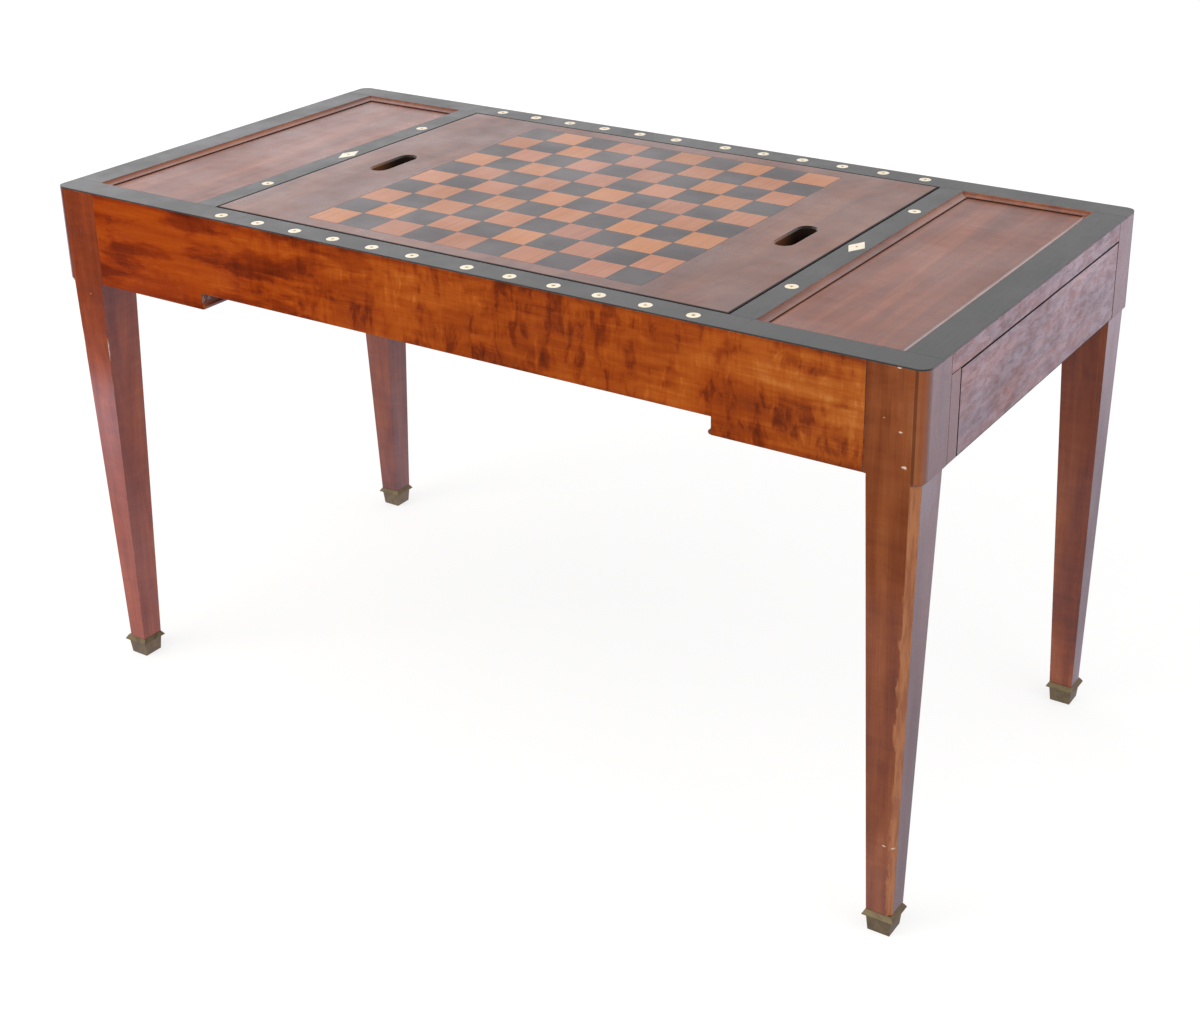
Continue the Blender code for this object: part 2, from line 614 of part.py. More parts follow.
def make_well(materials):
    """Floor with the points' seats, the lining that the panel rests on, mouldings and divider."""
    reach_x = HALF_WELL - GAP
    reach_y = RAIL_INSIDE - GAP
    floor = place("well_floor", block(-reach_x, reach_x, -reach_y, reach_y, FLOOR_UNDER, FLOOR_TOP),
                  materials["lacquer"])
    seats = bmesh.new()
    for sy in (-1, 1):
        for x in roundel_places():
            add_prism(seats, point_outline(x, sy), "z", FLOOR_TOP - POINT_SEAT, FLOOR_TOP + OVERRUN)
    cut(floor, "point_seats", seats)

    stand = FLOOR_TOP + GAP
    for where, sy in (("front", -1), ("back", 1)):
        outline = [(sy * reach_y, stand), (sy * WELL_INSIDE_Y, stand), (sy * WELL_INSIDE_Y, LEDGE_TOP),
                   (sy * OPENING_SIDE, LEDGE_TOP), (sy * OPENING_SIDE, CARCASS_TOP),
                   (sy * reach_y, CARCASS_TOP)]
        place("well_lining_" + where, prism(outline, "x", -reach_x, reach_x), materials["lacquer"])
        wall = WELL_INSIDE_Y - GAP
        quarter = arc((wall, stand), FOOT_MOULDING, 180, 90)
        outline = [(sy * y, z) for y, z in [(wall, stand)] + quarter]
        reach = WELL_INSIDE_X - GAP
        place("well_foot_moulding_" + where, prism(outline, "x", -reach, reach),
              materials["lacquer"], smooth=True)
    reach = WELL_INSIDE_Y - GAP
    for where, sx in (("left", -1), ("right", 1)):
        faces = sorted((sx * WELL_INSIDE_X, sx * reach_x))
        place("well_lining_" + where, block(*faces, -reach, reach, stand, LEDGE_TOP),
              materials["lacquer"])

    half = DIVIDER_WIDTH / 2
    round_top = arc((0.0, stand + DIVIDER_HEIGHT - half), half, 0, 180)
    reach = WELL_INSIDE_Y - FOOT_MOULDING - GAP - GAP
    place("well_divider", prism([(half, stand)] + round_top + [(-half, stand)], "y", -reach, reach),
          materials["lacquer"], smooth=True)


def slot_outline(x, spread=0.0):
    """A slot with half-round ends, its length from front to back."""
    radius = SLOT_WIDTH / 2 + spread
    straight = (SLOT_LENGTH - SLOT_WIDTH) / 2
    return arc((x, straight), radius, 0, 180) + arc((x, -straight), radius, 180, 360)


def make_games_panel(parent, materials):
    """The lift-out board: two hand slots, and the chequered field let into its top."""
    panel = place("games_panel", block(-PANEL_HALF_X, PANEL_HALF_X, -PANEL_HALF_Y, PANEL_HALF_Y,
                                       HEIGHT - PANEL, HEIGHT), materials["panel"], parent)
    bed = FIELD_HALF + GAP
    cut(panel, "field_bed", block(-bed, bed, -bed, bed, HEIGHT - FIELD_VENEER - GAP, HEIGHT + OVERRUN))
    for where, sx in (("left", -1), ("right", 1)):
        levels = ((HEIGHT - PANEL - OVERRUN, 0.0), (HEIGHT - SLOT_ARRIS, 0.0),
                  (HEIGHT, SLOT_ARRIS), (HEIGHT + OVERRUN, SLOT_ARRIS))
        rings = [[(x, y, z) for x, y in slot_outline(sx * SLOT_PLACE, spread)]
                 for z, spread in levels]
        cut(panel, "hand_slot_" + where, add_loft(bmesh.new(), rings))

    field = place("chequer_field", block(-FIELD_HALF, FIELD_HALF, -FIELD_HALF, FIELD_HALF,
                                         HEIGHT - FIELD_VENEER, HEIGHT), materials["ebony"], parent)
    square = 2 * FIELD_HALF / SQUARES
    seats = bmesh.new()
    for i in range(SQUARES):
        for j in range(SQUARES):
            if (i + j) % 2 == 0:
                x0 = -FIELD_HALF + square * i
                y0 = -FIELD_HALF + square * j
                add_block(seats, x0 + SQUARE_LINE, x0 + square - SQUARE_LINE,
                          y0 + SQUARE_LINE, y0 + square - SQUARE_LINE,
                          HEIGHT - SQUARE_SEAT, HEIGHT + OVERRUN)
    cut(field, "light_square_seats", seats)


def main():
    clear_scene()
    materials = make_materials()
    for across, sx in (("left", -1), ("right", 1)):
        for along, sy in (("front", -1), ("back", 1)):
            make_leg("leg_%s_%s" % (along, across), sx, sy, materials["leg"])
            make_sabot("sabot_%s_%s" % (along, across), sx, sy, materials["brass"])
    for where, sy in (("front", -1), ("back", 1)):
        make_long_rail("rail_" + where, sy, materials["frieze"])
        make_long_border("border_" + where, sy, materials["ebony"])
    for side, turn in (("right", 0.0), ("left", math.pi)):
        end = make_empty("end_" + side, turn)
        make_end(side, end, materials)
        make_end_border(side, end, materials)
        make_drawer(side, make_empty("drawer_" + side, turn), materials)
    make_well(materials)
    make_games_panel(make_empty("panel_lift"), materials)


main()
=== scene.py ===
# Tric trac table: finishes, inlays, floor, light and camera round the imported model.
# Metres, +Z up, +X along the length, the front at -Y, the floor at z = 0.
import math

import bpy
import numpy as np
from mathutils import Matrix, Vector


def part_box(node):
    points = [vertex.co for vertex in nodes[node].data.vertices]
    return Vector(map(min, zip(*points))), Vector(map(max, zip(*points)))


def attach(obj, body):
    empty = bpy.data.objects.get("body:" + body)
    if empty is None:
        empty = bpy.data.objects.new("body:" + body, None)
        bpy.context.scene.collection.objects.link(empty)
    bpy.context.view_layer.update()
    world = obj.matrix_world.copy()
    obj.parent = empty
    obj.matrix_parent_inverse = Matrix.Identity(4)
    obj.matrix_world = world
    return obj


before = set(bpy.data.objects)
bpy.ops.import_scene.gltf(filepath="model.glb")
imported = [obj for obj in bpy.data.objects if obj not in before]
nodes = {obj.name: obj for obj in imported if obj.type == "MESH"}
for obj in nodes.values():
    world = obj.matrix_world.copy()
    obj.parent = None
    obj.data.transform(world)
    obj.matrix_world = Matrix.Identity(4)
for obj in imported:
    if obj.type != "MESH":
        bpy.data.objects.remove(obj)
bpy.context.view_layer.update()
print("frame loaded:", len(nodes), "nodes")


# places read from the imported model

def lowHigh(name):
    low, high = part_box(name)
    return np.array(low), np.array(high)


tableTop = lowHigh("border_front")[1][2]
halfDepth = -lowHigh("border_front")[0][1]
halfWell = lowHigh("border_cross_right")[0][0]
fieldHalf = lowHigh("chequer_field")[1][0]
panelHalf = lowHigh("games_panel")[1][0]
wellFloorFoot = lowHigh("well_floor")[0][2]
wellFloorTop = lowHigh("well_floor")[1][2]
friezeFoot, friezeTop = lowHigh("rail_front")[0][2], lowHigh("rail_front")[1][2]


# how far the softened normal leans from the face at the start and at the middle of an arris
edgeBend = (0.015, 0.2)
# how much of a normal has to lie along an axis for a face to look that way
steepFace, squareFace = 0.7, 0.9
# where most values of a noise pattern lie
noiseRange = (0.3, 0.7)
# how many rays round an arris for the light, and the least angle of an edge that stays sharp
arrisRays = 4
sharpAngle = math.radians(35)


# helpers that add nodes to a tree: a finish's or the room's

class nodeMaker:
    def __init__(self, tree):
        self.tree = tree

    def add(self, kind, feeds=None, **settings):
        node = self.tree.nodes.new("ShaderNode" + kind)
        for key, value in settings.items():
            setattr(node, key, value)
        for key, value in (feeds or {}).items():
            self.feed(node.inputs[key], value)
        return node

    def feed(self, socket, value):
        if isinstance(value, bpy.types.NodeSocket):
            self.tree.links.new(value, socket)
        else:
            socket.default_value = value

    def math(self, operation, a, b=0.0, c=0.0, clamp=False):
        node = self.add("Math", {0: a, 1: b, 2: c}, operation=operation, use_clamp=clamp)
        return node.outputs[0]

    def minus(self, a, b, clamp=False):
        return self.math("SUBTRACT", a, b, clamp=clamp)

    def size(self, value):
        return self.math("ABSOLUTE", value)

    def over(self, value, least):
        return self.math("GREATER_THAN", value, least)

    def under(self, value, most):
        return self.math("LESS_THAN", value, most)

    # a value times a factor, added to a base
    def onto(self, value, factor, base):
        return self.math("MULTIPLY_ADD", value, factor, base)

    def times(self, product, *factors):
        for factor in factors:
            product = self.math("MULTIPLY", product, factor)
        return product

    def spread(self, value, low, high, toLow=0.0, toHigh=1.0, way="SMOOTHSTEP"):
        feeds = {"Value": value, "From Min": low, "From Max": high, "To Min": toLow, "To Max": toHigh}
        return self.add("MapRange", feeds, interpolation_type=way).outputs["Result"]

    def parts(self, vector):
        return self.add("SeparateXYZ", {"Vector": vector}).outputs

    # the second shader as far as the share allows, the first for the rest
    def choose(self, share, first, second):
        return self.add("MixShader", {0: share, 1: first, 2: second}).outputs[0]

    def mirrored(self):
        path = self.add("LightPath").outputs
        return self.math("MAXIMUM", path["Is Glossy Ray"], path["Is Transmission Ray"])

    def seen(self):
        return self.add("LightPath").outputs["Is Camera Ray"]


class finishMaker(nodeMaker):
    def __init__(self, name):
        self.material = bpy.data.materials.new(name)
        self.material.use_nodes = True
        super().__init__(self.material.node_tree)
        self.shader = self.tree.nodes["Principled BSDF"]
        self.place = self.add("TexCoord").outputs["Object"]
        self.coat = None

    def vector(self, operation, a, b=(0.0, 0.0, 0.0)):
        node = self.add("VectorMath", {0: a, 1: b}, operation=operation)
        return node.outputs["Value" if operation in ("DOT_PRODUCT", "LENGTH") else "Vector"]

    def stretched(self, vector, amount):
        feeds = {0: vector, "Scale": amount}
        return self.add("VectorMath", feeds, operation="SCALE").outputs["Vector"]

    def where(self):
        return self.parts(self.place)

    def facing(self):
        return self.parts(self.add("NewGeometry").outputs["Normal"])

    def scaled(self, scale, shift=(0.0, 0.0, 0.0), turn=(0.0, 0.0, 0.0)):
        feeds = {"Vector": self.place, "Location": shift, "Rotation": turn, "Scale": scale}
        return self.add("Mapping", feeds).outputs["Vector"]

    def noise(self, vector, detail, rough, bend=0.0):
        feeds = {"Vector": vector, "Scale": 1.0, "Detail": detail, "Roughness": rough, "Distortion": bend}
        return self.add("TexNoise", feeds).outputs["Fac"]

    # a noise pattern whose fineness, turn, detail and roughness stand in a look
    def pattern(self, look, key, shift=(0.0, 0.0, 0.0)):
        turn = look.get(key + "Turn", (0.0, 0.0, 0.0))
        return self.noise(self.scaled(look[key + "PerMetre"], shift, turn), *look[key + "Noise"])

    # such a pattern, cut to the range that the look gives it
    def mask(self, look, key, shift=(0.0, 0.0, 0.0)):
        return self.spread(self.pattern(look, key, shift), *look[key + "Range"])

    def ramp(self, value, stops):
        node = self.add("ValToRGB", {"Fac": value})
        elements = node.color_ramp.elements
        while len(elements) < len(stops):
            elements.new(0.5)
        for element, (where, color) in zip(elements, stops):
            element.position = where
            element.color = (*color, 1.0)
        return node.outputs["Color"]

    def mix(self, share, a, b, way="MIX"):
        node = self.add("Mix", {0: share, 6: self.opaque(a), 7: self.opaque(b)},
                        data_type="RGBA", blend_type=way)
        return node.outputs[2]

    def opaque(self, color):
        return (*color, 1.0) if isinstance(color, tuple) and len(color) == 3 else color

    # lays a tone over a color as far as all the shares allow
    def tinge(self, color, tone, *shares):
        return self.mix(self.times(*shares), color, tone)

    # adds a pattern, taken about its middle, to a base
    def lean(self, base, pattern, weight):
        return self.onto(self.minus(pattern, 0.5), weight, base)

    # rounds the arris for the light and says how near a point is to an edge
    def arris(self, radius):
        soft = self.add("Bevel", {"Radius": radius}, samples=arrisRays).outputs["Normal"]
        flat = self.add("NewGeometry").outputs["True Normal"]
        away = self.minus(1.0, self.vector("DOT_PRODUCT", soft, flat))
        return soft, self.spread(away, *edgeBend)

    # joins all to the shader: the look gives the depth of the relief and the wax's own roughness
    def finish(self, look, color, rough, height, normal, **more):
        feeds = {"Height": height, "Distance": look["relief"], "Normal": normal}
        more["Normal"] = self.add("Bump", feeds).outputs["Normal"]
        more.update({"Base Color": color, "Roughness": rough})
        if "coat" in look:
            more.update({"Coat Weight": self.coat or look["coat"], "Coat Roughness": look["coatRoughness"]})
        for key, value in more.items():
            self.feed(self.shader.inputs[key], value)
        return self.material


# woods: grain lines and pores run along one axis

def alongAxis(axis, lengthwise, crosswise):
    return tuple(lengthwise if name == axis else crosswise for name in "xyz")


legFinish = {
    "stops": ((0.0, (0.105, 0.020, 0.006)), (0.40, (0.230, 0.048, 0.011)),
              (0.72, (0.325, 0.078, 0.018)), (1.0, (0.43, 0.130, 0.036))),
    "patchPerMetre": (3.0, 22.0), "strokePerMetre": (2.2, 60.0), "ripplePerMetre": (60.0, 18.0),
    "grainPerMetre": (4.0, 520.0), "porePerMetre": (80.0, 2400.0),
    "strokes": 0.22, "pores": 0.14, "tilt": 0.03,
    "roughness": 0.21, "smear": 0.10, "coat": 0.50, "coatRoughness": 0.08, "relief": 0.00003,
    "haze": 0.25, "hazePerMetre": (30.0, 30.0, 9.0), "arris": 0.0012,
    "wornColor": (0.50, 0.21, 0.075),
}
endFinish = {
    "stops": ((0.0, (0.066, 0.014, 0.008)), (0.40, (0.150, 0.033, 0.015)),
              (0.72, (0.225, 0.056, 0.024)), (1.0, (0.34, 0.105, 0.046))),
    "patchPerMetre": (5.0, 30.0), "strokePerMetre": (9.0, 95.0), "ripplePerMetre": (30.0, 150.0),
    "grainPerMetre": (8.0, 560.0), "porePerMetre": (90.0, 2200.0),
    "strokes": 0.38, "pores": 0.18, "tilt": 0.20,
    "roughness": 0.30, "smear": 0.26, "coat": 0.36, "coatRoughness": 0.20, "relief": 0.00006,
    "haze": 0.62, "hazePerMetre": (70.0, 48.0, 150.0), "arris": 0.0010,
    "wornColor": (0.34, 0.14, 0.06),
}
panelFinish = {
    "stops": ((0.0, (0.104, 0.029, 0.014)), (0.40, (0.182, 0.048, 0.020)),
              (0.72, (0.250, 0.071, 0.028)), (1.0, (0.335, 0.112, 0.046))),
    "patchPerMetre": (1.8, 24.0), "strokePerMetre": (1.3, 48.0), "ripplePerMetre": (70.0, 14.0),
    "grainPerMetre": (3.5, 560.0), "porePerMetre": (75.0, 2400.0),
    "strokes": 0.28, "pores": 0.08, "tilt": 0.02,
    "roughness": 0.31, "smear": 0.14, "coat": 0.18, "coatRoughness": 0.22, "relief": 0.00002,
    "haze": 0.50, "hazePerMetre": (9.0, 9.0, 9.0), "arris": 0.0008,
    "wornColor": (0.30, 0.13, 0.07),
}
oakFinish = {
    "stops": ((0.0, (0.150, 0.080, 0.036)), (0.40, (0.29, 0.175, 0.085)),
              (0.70, (0.38, 0.245, 0.125)), (1.0, (0.47, 0.32, 0.175))),
    "patchPerMetre": (3.0, 26.0), "strokePerMetre": (2.0, 95.0), "ripplePerMetre": (10.0, 90.0),
    "grainPerMetre": (4.0, 500.0), "porePerMetre": (45.0, 1500.0),
    "strokes": 0.20, "pores": 0.22, "tilt": 0.02,
    "roughness": 0.62, "smear": 0.14, "coat": 0.0, "coatRoughness": 0.5, "relief": 0.00008,
    "haze": 0.0, "hazePerMetre": (9.0, 9.0, 9.0), "arris": 0.0006,
    "wornColor": (0.22, 0.13, 0.065),
}


# each layer's detail, bend and shift, then the range of each mask and the weights in the tone
woodMix = {
    "layers": {"patch": (4.0, 0.7, 0.0), "stroke": (3.0, 0.9, 5.0), "ripple": (2.0, 0.5, 9.0),
               "grain": (4.0, 0.0, 13.0), "pore": (1.0, 0.0, 17.0)},
    "poreRange": (0.60, 0.72), "strokeRange": (0.46, 0.70), "strokeWhere": (0.38, 0.62, 0.25, 1.0),
    "patchRange": (0.28, 0.72), "patch": 0.62, "base": 0.22, "ripple": 0.42, "grain": 0.38, "rough": 0.6,
    "seedShift": (1.37, 2.11, 0.83),
}


def woodTone(m, look, axis, seed):
    tilt = look["tilt"] * (1 if seed % 2 else -1)
    turn = {"x": (0.0, tilt, 0.0), "y": (tilt, 0.0, 0.0), "z": (tilt, tilt, 0.0)}[axis]
    mix = woodMix

    def layer(key):
        detail, bend, extra = mix["layers"][key]
        scale = alongAxis(axis, *look[key + "PerMetre"])
        shift = tuple(seed * step + extra for step in mix["seedShift"])
        return m.noise(m.scaled(scale, shift, turn), detail, mix["rough"], bend)

    patches = layer("patch")
    strokes = m.times(m.spread(layer("stroke"), *mix["strokeRange"]), m.spread(patches, *mix["strokeWhere"]))
    pores = m.spread(layer("pore"), *mix["poreRange"])
    tone = m.onto(m.spread(patches, *mix["patchRange"]), mix["patch"], mix["base"])
    tone = m.lean(tone, layer("ripple"), mix["ripple"])
    tone = m.lean(tone, layer("grain"), mix["grain"])
    tone = m.minus(tone, m.times(strokes, look["strokes"]))
    tone = m.minus(tone, m.times(pores, look["pores"]), clamp=True)
    return tone, pores


polishLook = {
    "rubPerMetre": (28.0,) * 3, "rubNoise": (4.0, 0.55), "rubRange": (0.50, 0.66), "rubbed": 0.75,
    "rubRough": 0.2, "smearPerMetre": (11.0,) * 3, "smearNoise": (5.0, 0.62), "smearShift": 3.0,
    "smoother": 0.4, "rougher": 0.6, "poreRough": 0.05, "hazeNoise": (4.0, 0.6),
    "hazeRange": (0.36, 0.64), "toneHeight": 0.35,
}


# wax polish over any wood: the arris is eased and rubbed, and the sheen smears
def polish(m, look, seed, color, tone, pores, steps=(), **more):
    wax = polishLook
    soft, edge = m.arris(look["arris"])
    wear = m.times(edge, m.mask(wax, "rub", (seed, 0.0, seed)))
    color = m.tinge(color, look["wornColor"], wear, wax["rubbed"])
    smear = m.pattern(wax, "smear", (0.0, seed, wax["smearShift"]))
    rough = m.spread(smear, *noiseRange, look["roughness"] - wax["smoother"] * look["smear"],
                     look["roughness"] + wax["rougher"] * look["smear"])
    rough = m.onto(wear, wax["rubRough"], rough)
    rough = m.onto(pores, wax["poreRough"], rough)
    haze = m.noise(m.scaled(look["hazePerMetre"], (seed, seed, 0.0)), *wax["hazeNoise"])
    m.coat = m.spread(haze, *wax["hazeRange"], look["coat"] * (1 - look["haze"]),
                      look["coat"] * (1 + look["haze"]))
    for step in steps:
        color, rough = step(m, color, rough)
    height = m.minus(m.times(tone, wax["toneHeight"]), pores)
    return m.finish(look, color, rough, height, soft, **more)


def woodFinish(name, look, axis, seed, steps):
    m = finishMaker(name)
    tone, pores = woodTone(m, look, axis, seed)
    return polish(m, look, seed, m.ramp(tone, look["stops"]), tone, pores, steps)


# the flame figure of the long rails: streaks along x, dark smudges, and soft upright flecks,
# some dark and some pale, that thicken towards the right; top and lower edges are darker
friezeFinish = {
    # each layer's detail, bend and shift, the range of its mask, and what it takes from the tone
    "layers": {"streak": (5.0, 0.6, 0.0), "smudge": (5.0, 0.35, 4.0), "mass": (3.0, 0.6, 8.0),
               "line": (3.0, 0.0, 12.0), "hair": (2.0, 0.2, 16.0), "fleck": (3.0, 0.55, 20.0),
               "pale": (3.0, 0.45, 28.0), "pore": (1.0, 0.0, 24.0)},
    "ranges": {"smudge": (0.46, 0.62), "mass": (0.40, 0.62), "fleck": (0.45, 0.66), "pale": (0.55, 0.72),
               "pore": (0.60, 0.72)},
    "takes": {"smudge": 0.40, "fleck": 0.36, "mass": 0.17, "pale": -0.16, "line": -0.20, "hair": -0.16,
              "top": 0.24, "foot": 0.20, "pore": 0.08},
    # from and to which x each change runs along the rail
    "where": {"figured": (-0.45, -0.05, 0.20, 1.0), "smudged": (0.30, -0.30, 0.30, 1.0),
              "redder": (0.10, -0.45), "paler": (0.36, 0.56)},
    "stops": ((0.0, (0.105, 0.016, 0.003)), (0.28, (0.190, 0.028, 0.004)),
              (0.55, (0.320, 0.054, 0.005)), (0.80, (0.430, 0.094, 0.010)), (1.0, (0.53, 0.165, 0.030))),
    "redder": (0.96, 0.70, 0.28), "paler": (1.04, 1.26, 1.70), "streaks": 0.95, "base": 0.76,
    "streakPerMetre": (4.0, 52.0), "linePerMetre": (14.0, 620.0), "smudgePerMetre": (8.5, 27.0),
    "fleckPerMetre": (62.0, 25.0), "palePerMetre": (95.0, 30.0), "hairPerMetre": (380.0, 26.0),
    "massPerMetre": (10.0, 17.0), "porePerMetre": (70.0, 2200.0), "chipPerMetre": (150.0, 150.0, 110.0),
    "chipNoise": (3.0, 0.6), "chipRange": (0.46, 0.56), "rough": 0.6, "seedStep": 0.7,
    "massFlecks": 0.75, "topShade": 0.0075, "footShade": 0.03375, "sawnShare": 0.85, "specular": 0.36,
    "roughness": 0.20, "smear": 0.08, "coat": 0.08, "coatRoughness": 0.08, "relief": 0.00001,
    "haze": 0.30, "hazePerMetre": (14.0, 14.0, 22.0), "arris": 0.0011, "wornColor": (0.42, 0.17, 0.06),
    "endGrain": (0.150, 0.055, 0.032), "chipped": (0.36, 0.24, 0.17),
}


def friezeMaterial(name, seed):
    m = finishMaker(name)
    look, where = friezeFinish, friezeFinish["where"]
    x, z = m.where()["X"], m.where()["Z"]

    def layer(key):
        detail, bend, extra = look["layers"][key]
        along, up = look[key + "PerMetre"]
        shift = (seed + extra, extra, seed * look["seedStep"] + extra)
        pattern = m.noise(m.scaled((along, 1.0, up), shift), detail, look["rough"], bend)
        return m.spread(pattern, *look["ranges"][key]) if key in look["ranges"] else pattern

    def off(tone, mask, key, place=1.0):
        return m.minus(tone, m.times(mask, place, look["takes"][key]))

    masses, pores = layer("mass"), layer("pore")
    figured = m.spread(x, *where["figured"])
    share = look["massFlecks"]
    flecks = m.times(layer("fleck"), m.onto(masses, share, 1 - share))
    tone = m.lean(look["base"], layer("streak"), look["streaks"])
    tone = off(tone, layer("smudge"), "smudge", m.spread(x, *where["smudged"]))
    tone = off(tone, flecks, "fleck", figured)
    tone = off(tone, masses, "mass", figured)
    tone = off(tone, layer("pale"), "pale", figured)
    tone = off(tone, m.minus(layer("line"), 0.5), "line")
    tone = off(tone, m.minus(layer("hair"), 0.5), "hair", figured)
    tone = off(tone, m.spread(z, friezeTop - look["topShade"], friezeTop), "top")
    tone = off(tone, m.spread(z, friezeFoot + look["footShade"], friezeFoot), "foot")
    tone = m.minus(tone, m.times(pores, look["takes"]["pore"]), clamp=True)
    color = m.ramp(tone, look["stops"])
    for key in ("redder", "paler"):
        color = m.mix(m.spread(x, *where[key]), color, m.mix(1.0, color, look[key], "MULTIPLY"))
    sawn = m.over(m.size(m.facing()["X"]), steepFace)
    chip = m.mix(m.mask(look, "chip", (seed, 0.0, 0.0)), look["endGrain"], look["chipped"])
    color = m.tinge(color, chip, sawn, look["sawnShare"])
    return polish(m, look, seed, color, tone, pores, **{"Specular IOR Level": look["specular"]})


# the flat chamfer of a leg and the round corner of its block are rubbed to a lighter brown, and
# lower down the rubbing runs over the arris on to the face beside it; the dark lines along both
# edges of the block's round corner are painted shade
cornerLook = {
    "rubbed": (0.52, 0.205, 0.074), "stained": (0.36, 0.120, 0.044), "touched": (0.33, 0.105, 0.038),
    "edged": (0.060, 0.017, 0.009), "scuff": (0.74, 0.58, 0.44), "roughness": 0.42, "stepIn": 0.004,
    "chamfer": 0.009, "footHalf": 0.0155, "footChamfer": 0.0048, "spill": {"leg_front_right": 0.0050},
    "spillTop": 0.46, "bared": {"leg_front_right": 0.84}, "lessBared": 0.45,
    "raggedPerMetre": (70.0, 70.0, 22.0), "raggedNoise": (6.0, 0.70), "raggedRange": (0.36, 0.64),
    "least": -0.001, "spillFade": 0.05, "spillEdge": (-0.0010, 0.0022), "spillShare": 0.85,
    "slantRange": (0.30, 0.42), "blockRange": (0.08, 0.30), "blockShare": 0.45, "blockRough": 0.4,
    "linesIn": (0.01, 0.07), "linesOut": (0.12, 0.24, 0.6, 0.0), "mottlePerMetre": (260.0, 260.0, 24.0),
    "mottleNoise": (5.0, 0.66), "mottleRange": (0.36, 0.60),
}


# where the arris between a leg's front and its chamfer starts at the top and ends at the foot
def legArris(name):
    look = cornerLook
    low, high = lowHigh(name)
    foot = lowHigh(name.replace("leg_", "sabot_"))
    top = max(abs(low[0]), abs(high[0])) - look["stepIn"] - look["chamfer"]
    bottom = (abs(foot[0][0]) + abs(foot[1][0])) / 2 + look["footHalf"] - look["footChamfer"]
    return top, bottom, friezeFoot - look["stepIn"], foot[1][2]


def rubbedCorner(name):
    topArris, footArris, blockFoot, legFoot = legArris(name)
    slope = (topArris - footArris) / (blockFoot - legFoot)
    look = cornerLook
    spillWidth = look["spill"].get(name, look["least"])

    def step(m, color, rough):
        facing, place = m.facing(), m.where()
        sideways, forward = m.size(facing["X"]), m.size(facing["Y"])
        slant = m.times(sideways, forward)
        onLeg = m.under(place["Z"], blockFoot)
        edge = m.onto(m.minus(place["Z"], legFoot), slope, footArris)
        edge = m.minus(edge, m.size(place["X"]))
        width = m.times(m.spread(m.pattern(look, "ragged"), *look["raggedRange"], look["least"], spillWidth),
                        m.spread(place["Z"], look["spillTop"], look["spillTop"] - look["spillFade"]))
        spill = m.spread(m.minus(width, edge), *look["spillEdge"])
        spill = m.times(spill, m.over(forward, squareFace),
                        m.over(edge, look["least"]), onLeg, look["spillShare"])
        bare = m.math("MAXIMUM", m.times(m.spread(slant, *look["slantRange"]), onLeg), spill)
        mottle = m.mix(m.mask(look, "mottle"), look["stained"], look["rubbed"])
        color = m.tinge(color, mottle, bare, look["bared"].get(name, look["lessBared"]))
        block = m.minus(1.0, onLeg)
        onBlock = m.times(block, m.spread(slant, *look["blockRange"]))
        color = m.tinge(color, look["touched"], onBlock, look["blockShare"])
        # painted shade: dark lines along both edges of the block's round corner
        color = m.tinge(color, look["edged"], m.spread(slant, *look["linesIn"]),
                        m.spread(slant, *look["linesOut"]), block)
        bare = m.math("MAXIMUM", bare, m.times(onBlock, look["blockRough"]))
        return color, m.onto(bare, look["roughness"] - legFinish["roughness"], rough)
    return step


# dents that have gone through the polish: ragged spots, each by its middle, half width and half height
dentLook = {
    "perMetre": (900.0,) * 3, "detail": 2.0, "ragged": 0.0032, "edge": (0.8, 1.15, 1.0, 0.0), "rough": 0.3,
    "leg_front_right": [(0.5844, -0.305, 0.6198, 0.0019, 0.0009), (0.5899, -0.305, 0.5825, 0.0029, 0.0013),
                        (0.5656, -0.305, 0.6315, 0.0010, 0.0005), (0.5800, -0.305, 0.6880, 0.0021, 0.0009),
                        (0.5838, -0.2970, 0.1210, 0.0021, 0.0009), (0.5950, -0.2960, 0.1203, 0.0031, 0.0014),
                        (0.5700, -0.3040, 0.4700, 0.0008, 0.0004), (0.5760, -0.3040, 0.5480, 0.0009, 0.0004)],
    "leg_front_left": [(-0.5509, -0.3033, 0.4730, 0.0009, 0.0165), (-0.5960, -0.3032, 0.4800, 0.0008, 0.0200),
                       (-0.5700, -0.3050, 0.5500, 0.0010, 0.0006)],
}


def dents(places):
    def step(m, color, rough):
        feeds = {"Vector": m.scaled(dentLook["perMetre"]), "Scale": 1.0, "Detail": dentLook["detail"]}
        bent = m.add("TexNoise", feeds).outputs["Color"]
        shaken = m.stretched(m.vector("SUBTRACT", bent, (0.5, 0.5, 0.5)), dentLook["ragged"])
        spot = m.vector("ADD", m.place, shaken)
        found = 0.0
        for dx, dy, dz, wide, tall in places:
            aside = m.vector("DIVIDE", m.vector("SUBTRACT", spot, (dx, dy, dz)), (wide, wide, tall))
            found = m.math("MAXIMUM", m.spread(m.vector("LENGTH", aside), *dentLook["edge"]), found)
        return m.mix(found, color, cornerLook["scuff"]), m.onto(found, dentLook["rough"], rough)
    return step


# the panel and the mouldings are from another plank and duller; the front-left leg is made lighter
# and redder as painted light, and the front-right leg darker and bluer as painted shade and sheen
tonesAndPaintedLight = {
    "games_panel": (0.76, 0.90, 0.98), "leg_front_left": (1.25, 1.05, 0.95),
    "leg_front_right": (0.85, 0.98, 1.20), "tray_moulding_left": (0.72, 0.80, 1.0),
    "tray_moulding_right": (0.72, 0.82, 1.05),
}


def toneAndPaintedLight(factor):
    def step(m, color, rough):
        return m.mix(1.0, color, factor, "MULTIPLY"), rough
    return step


paintedRightSheenLook = {"faded": (0.110, 0.066, 0.060), "share": 0.62, "dulled": -0.85, "fade": 0.004}
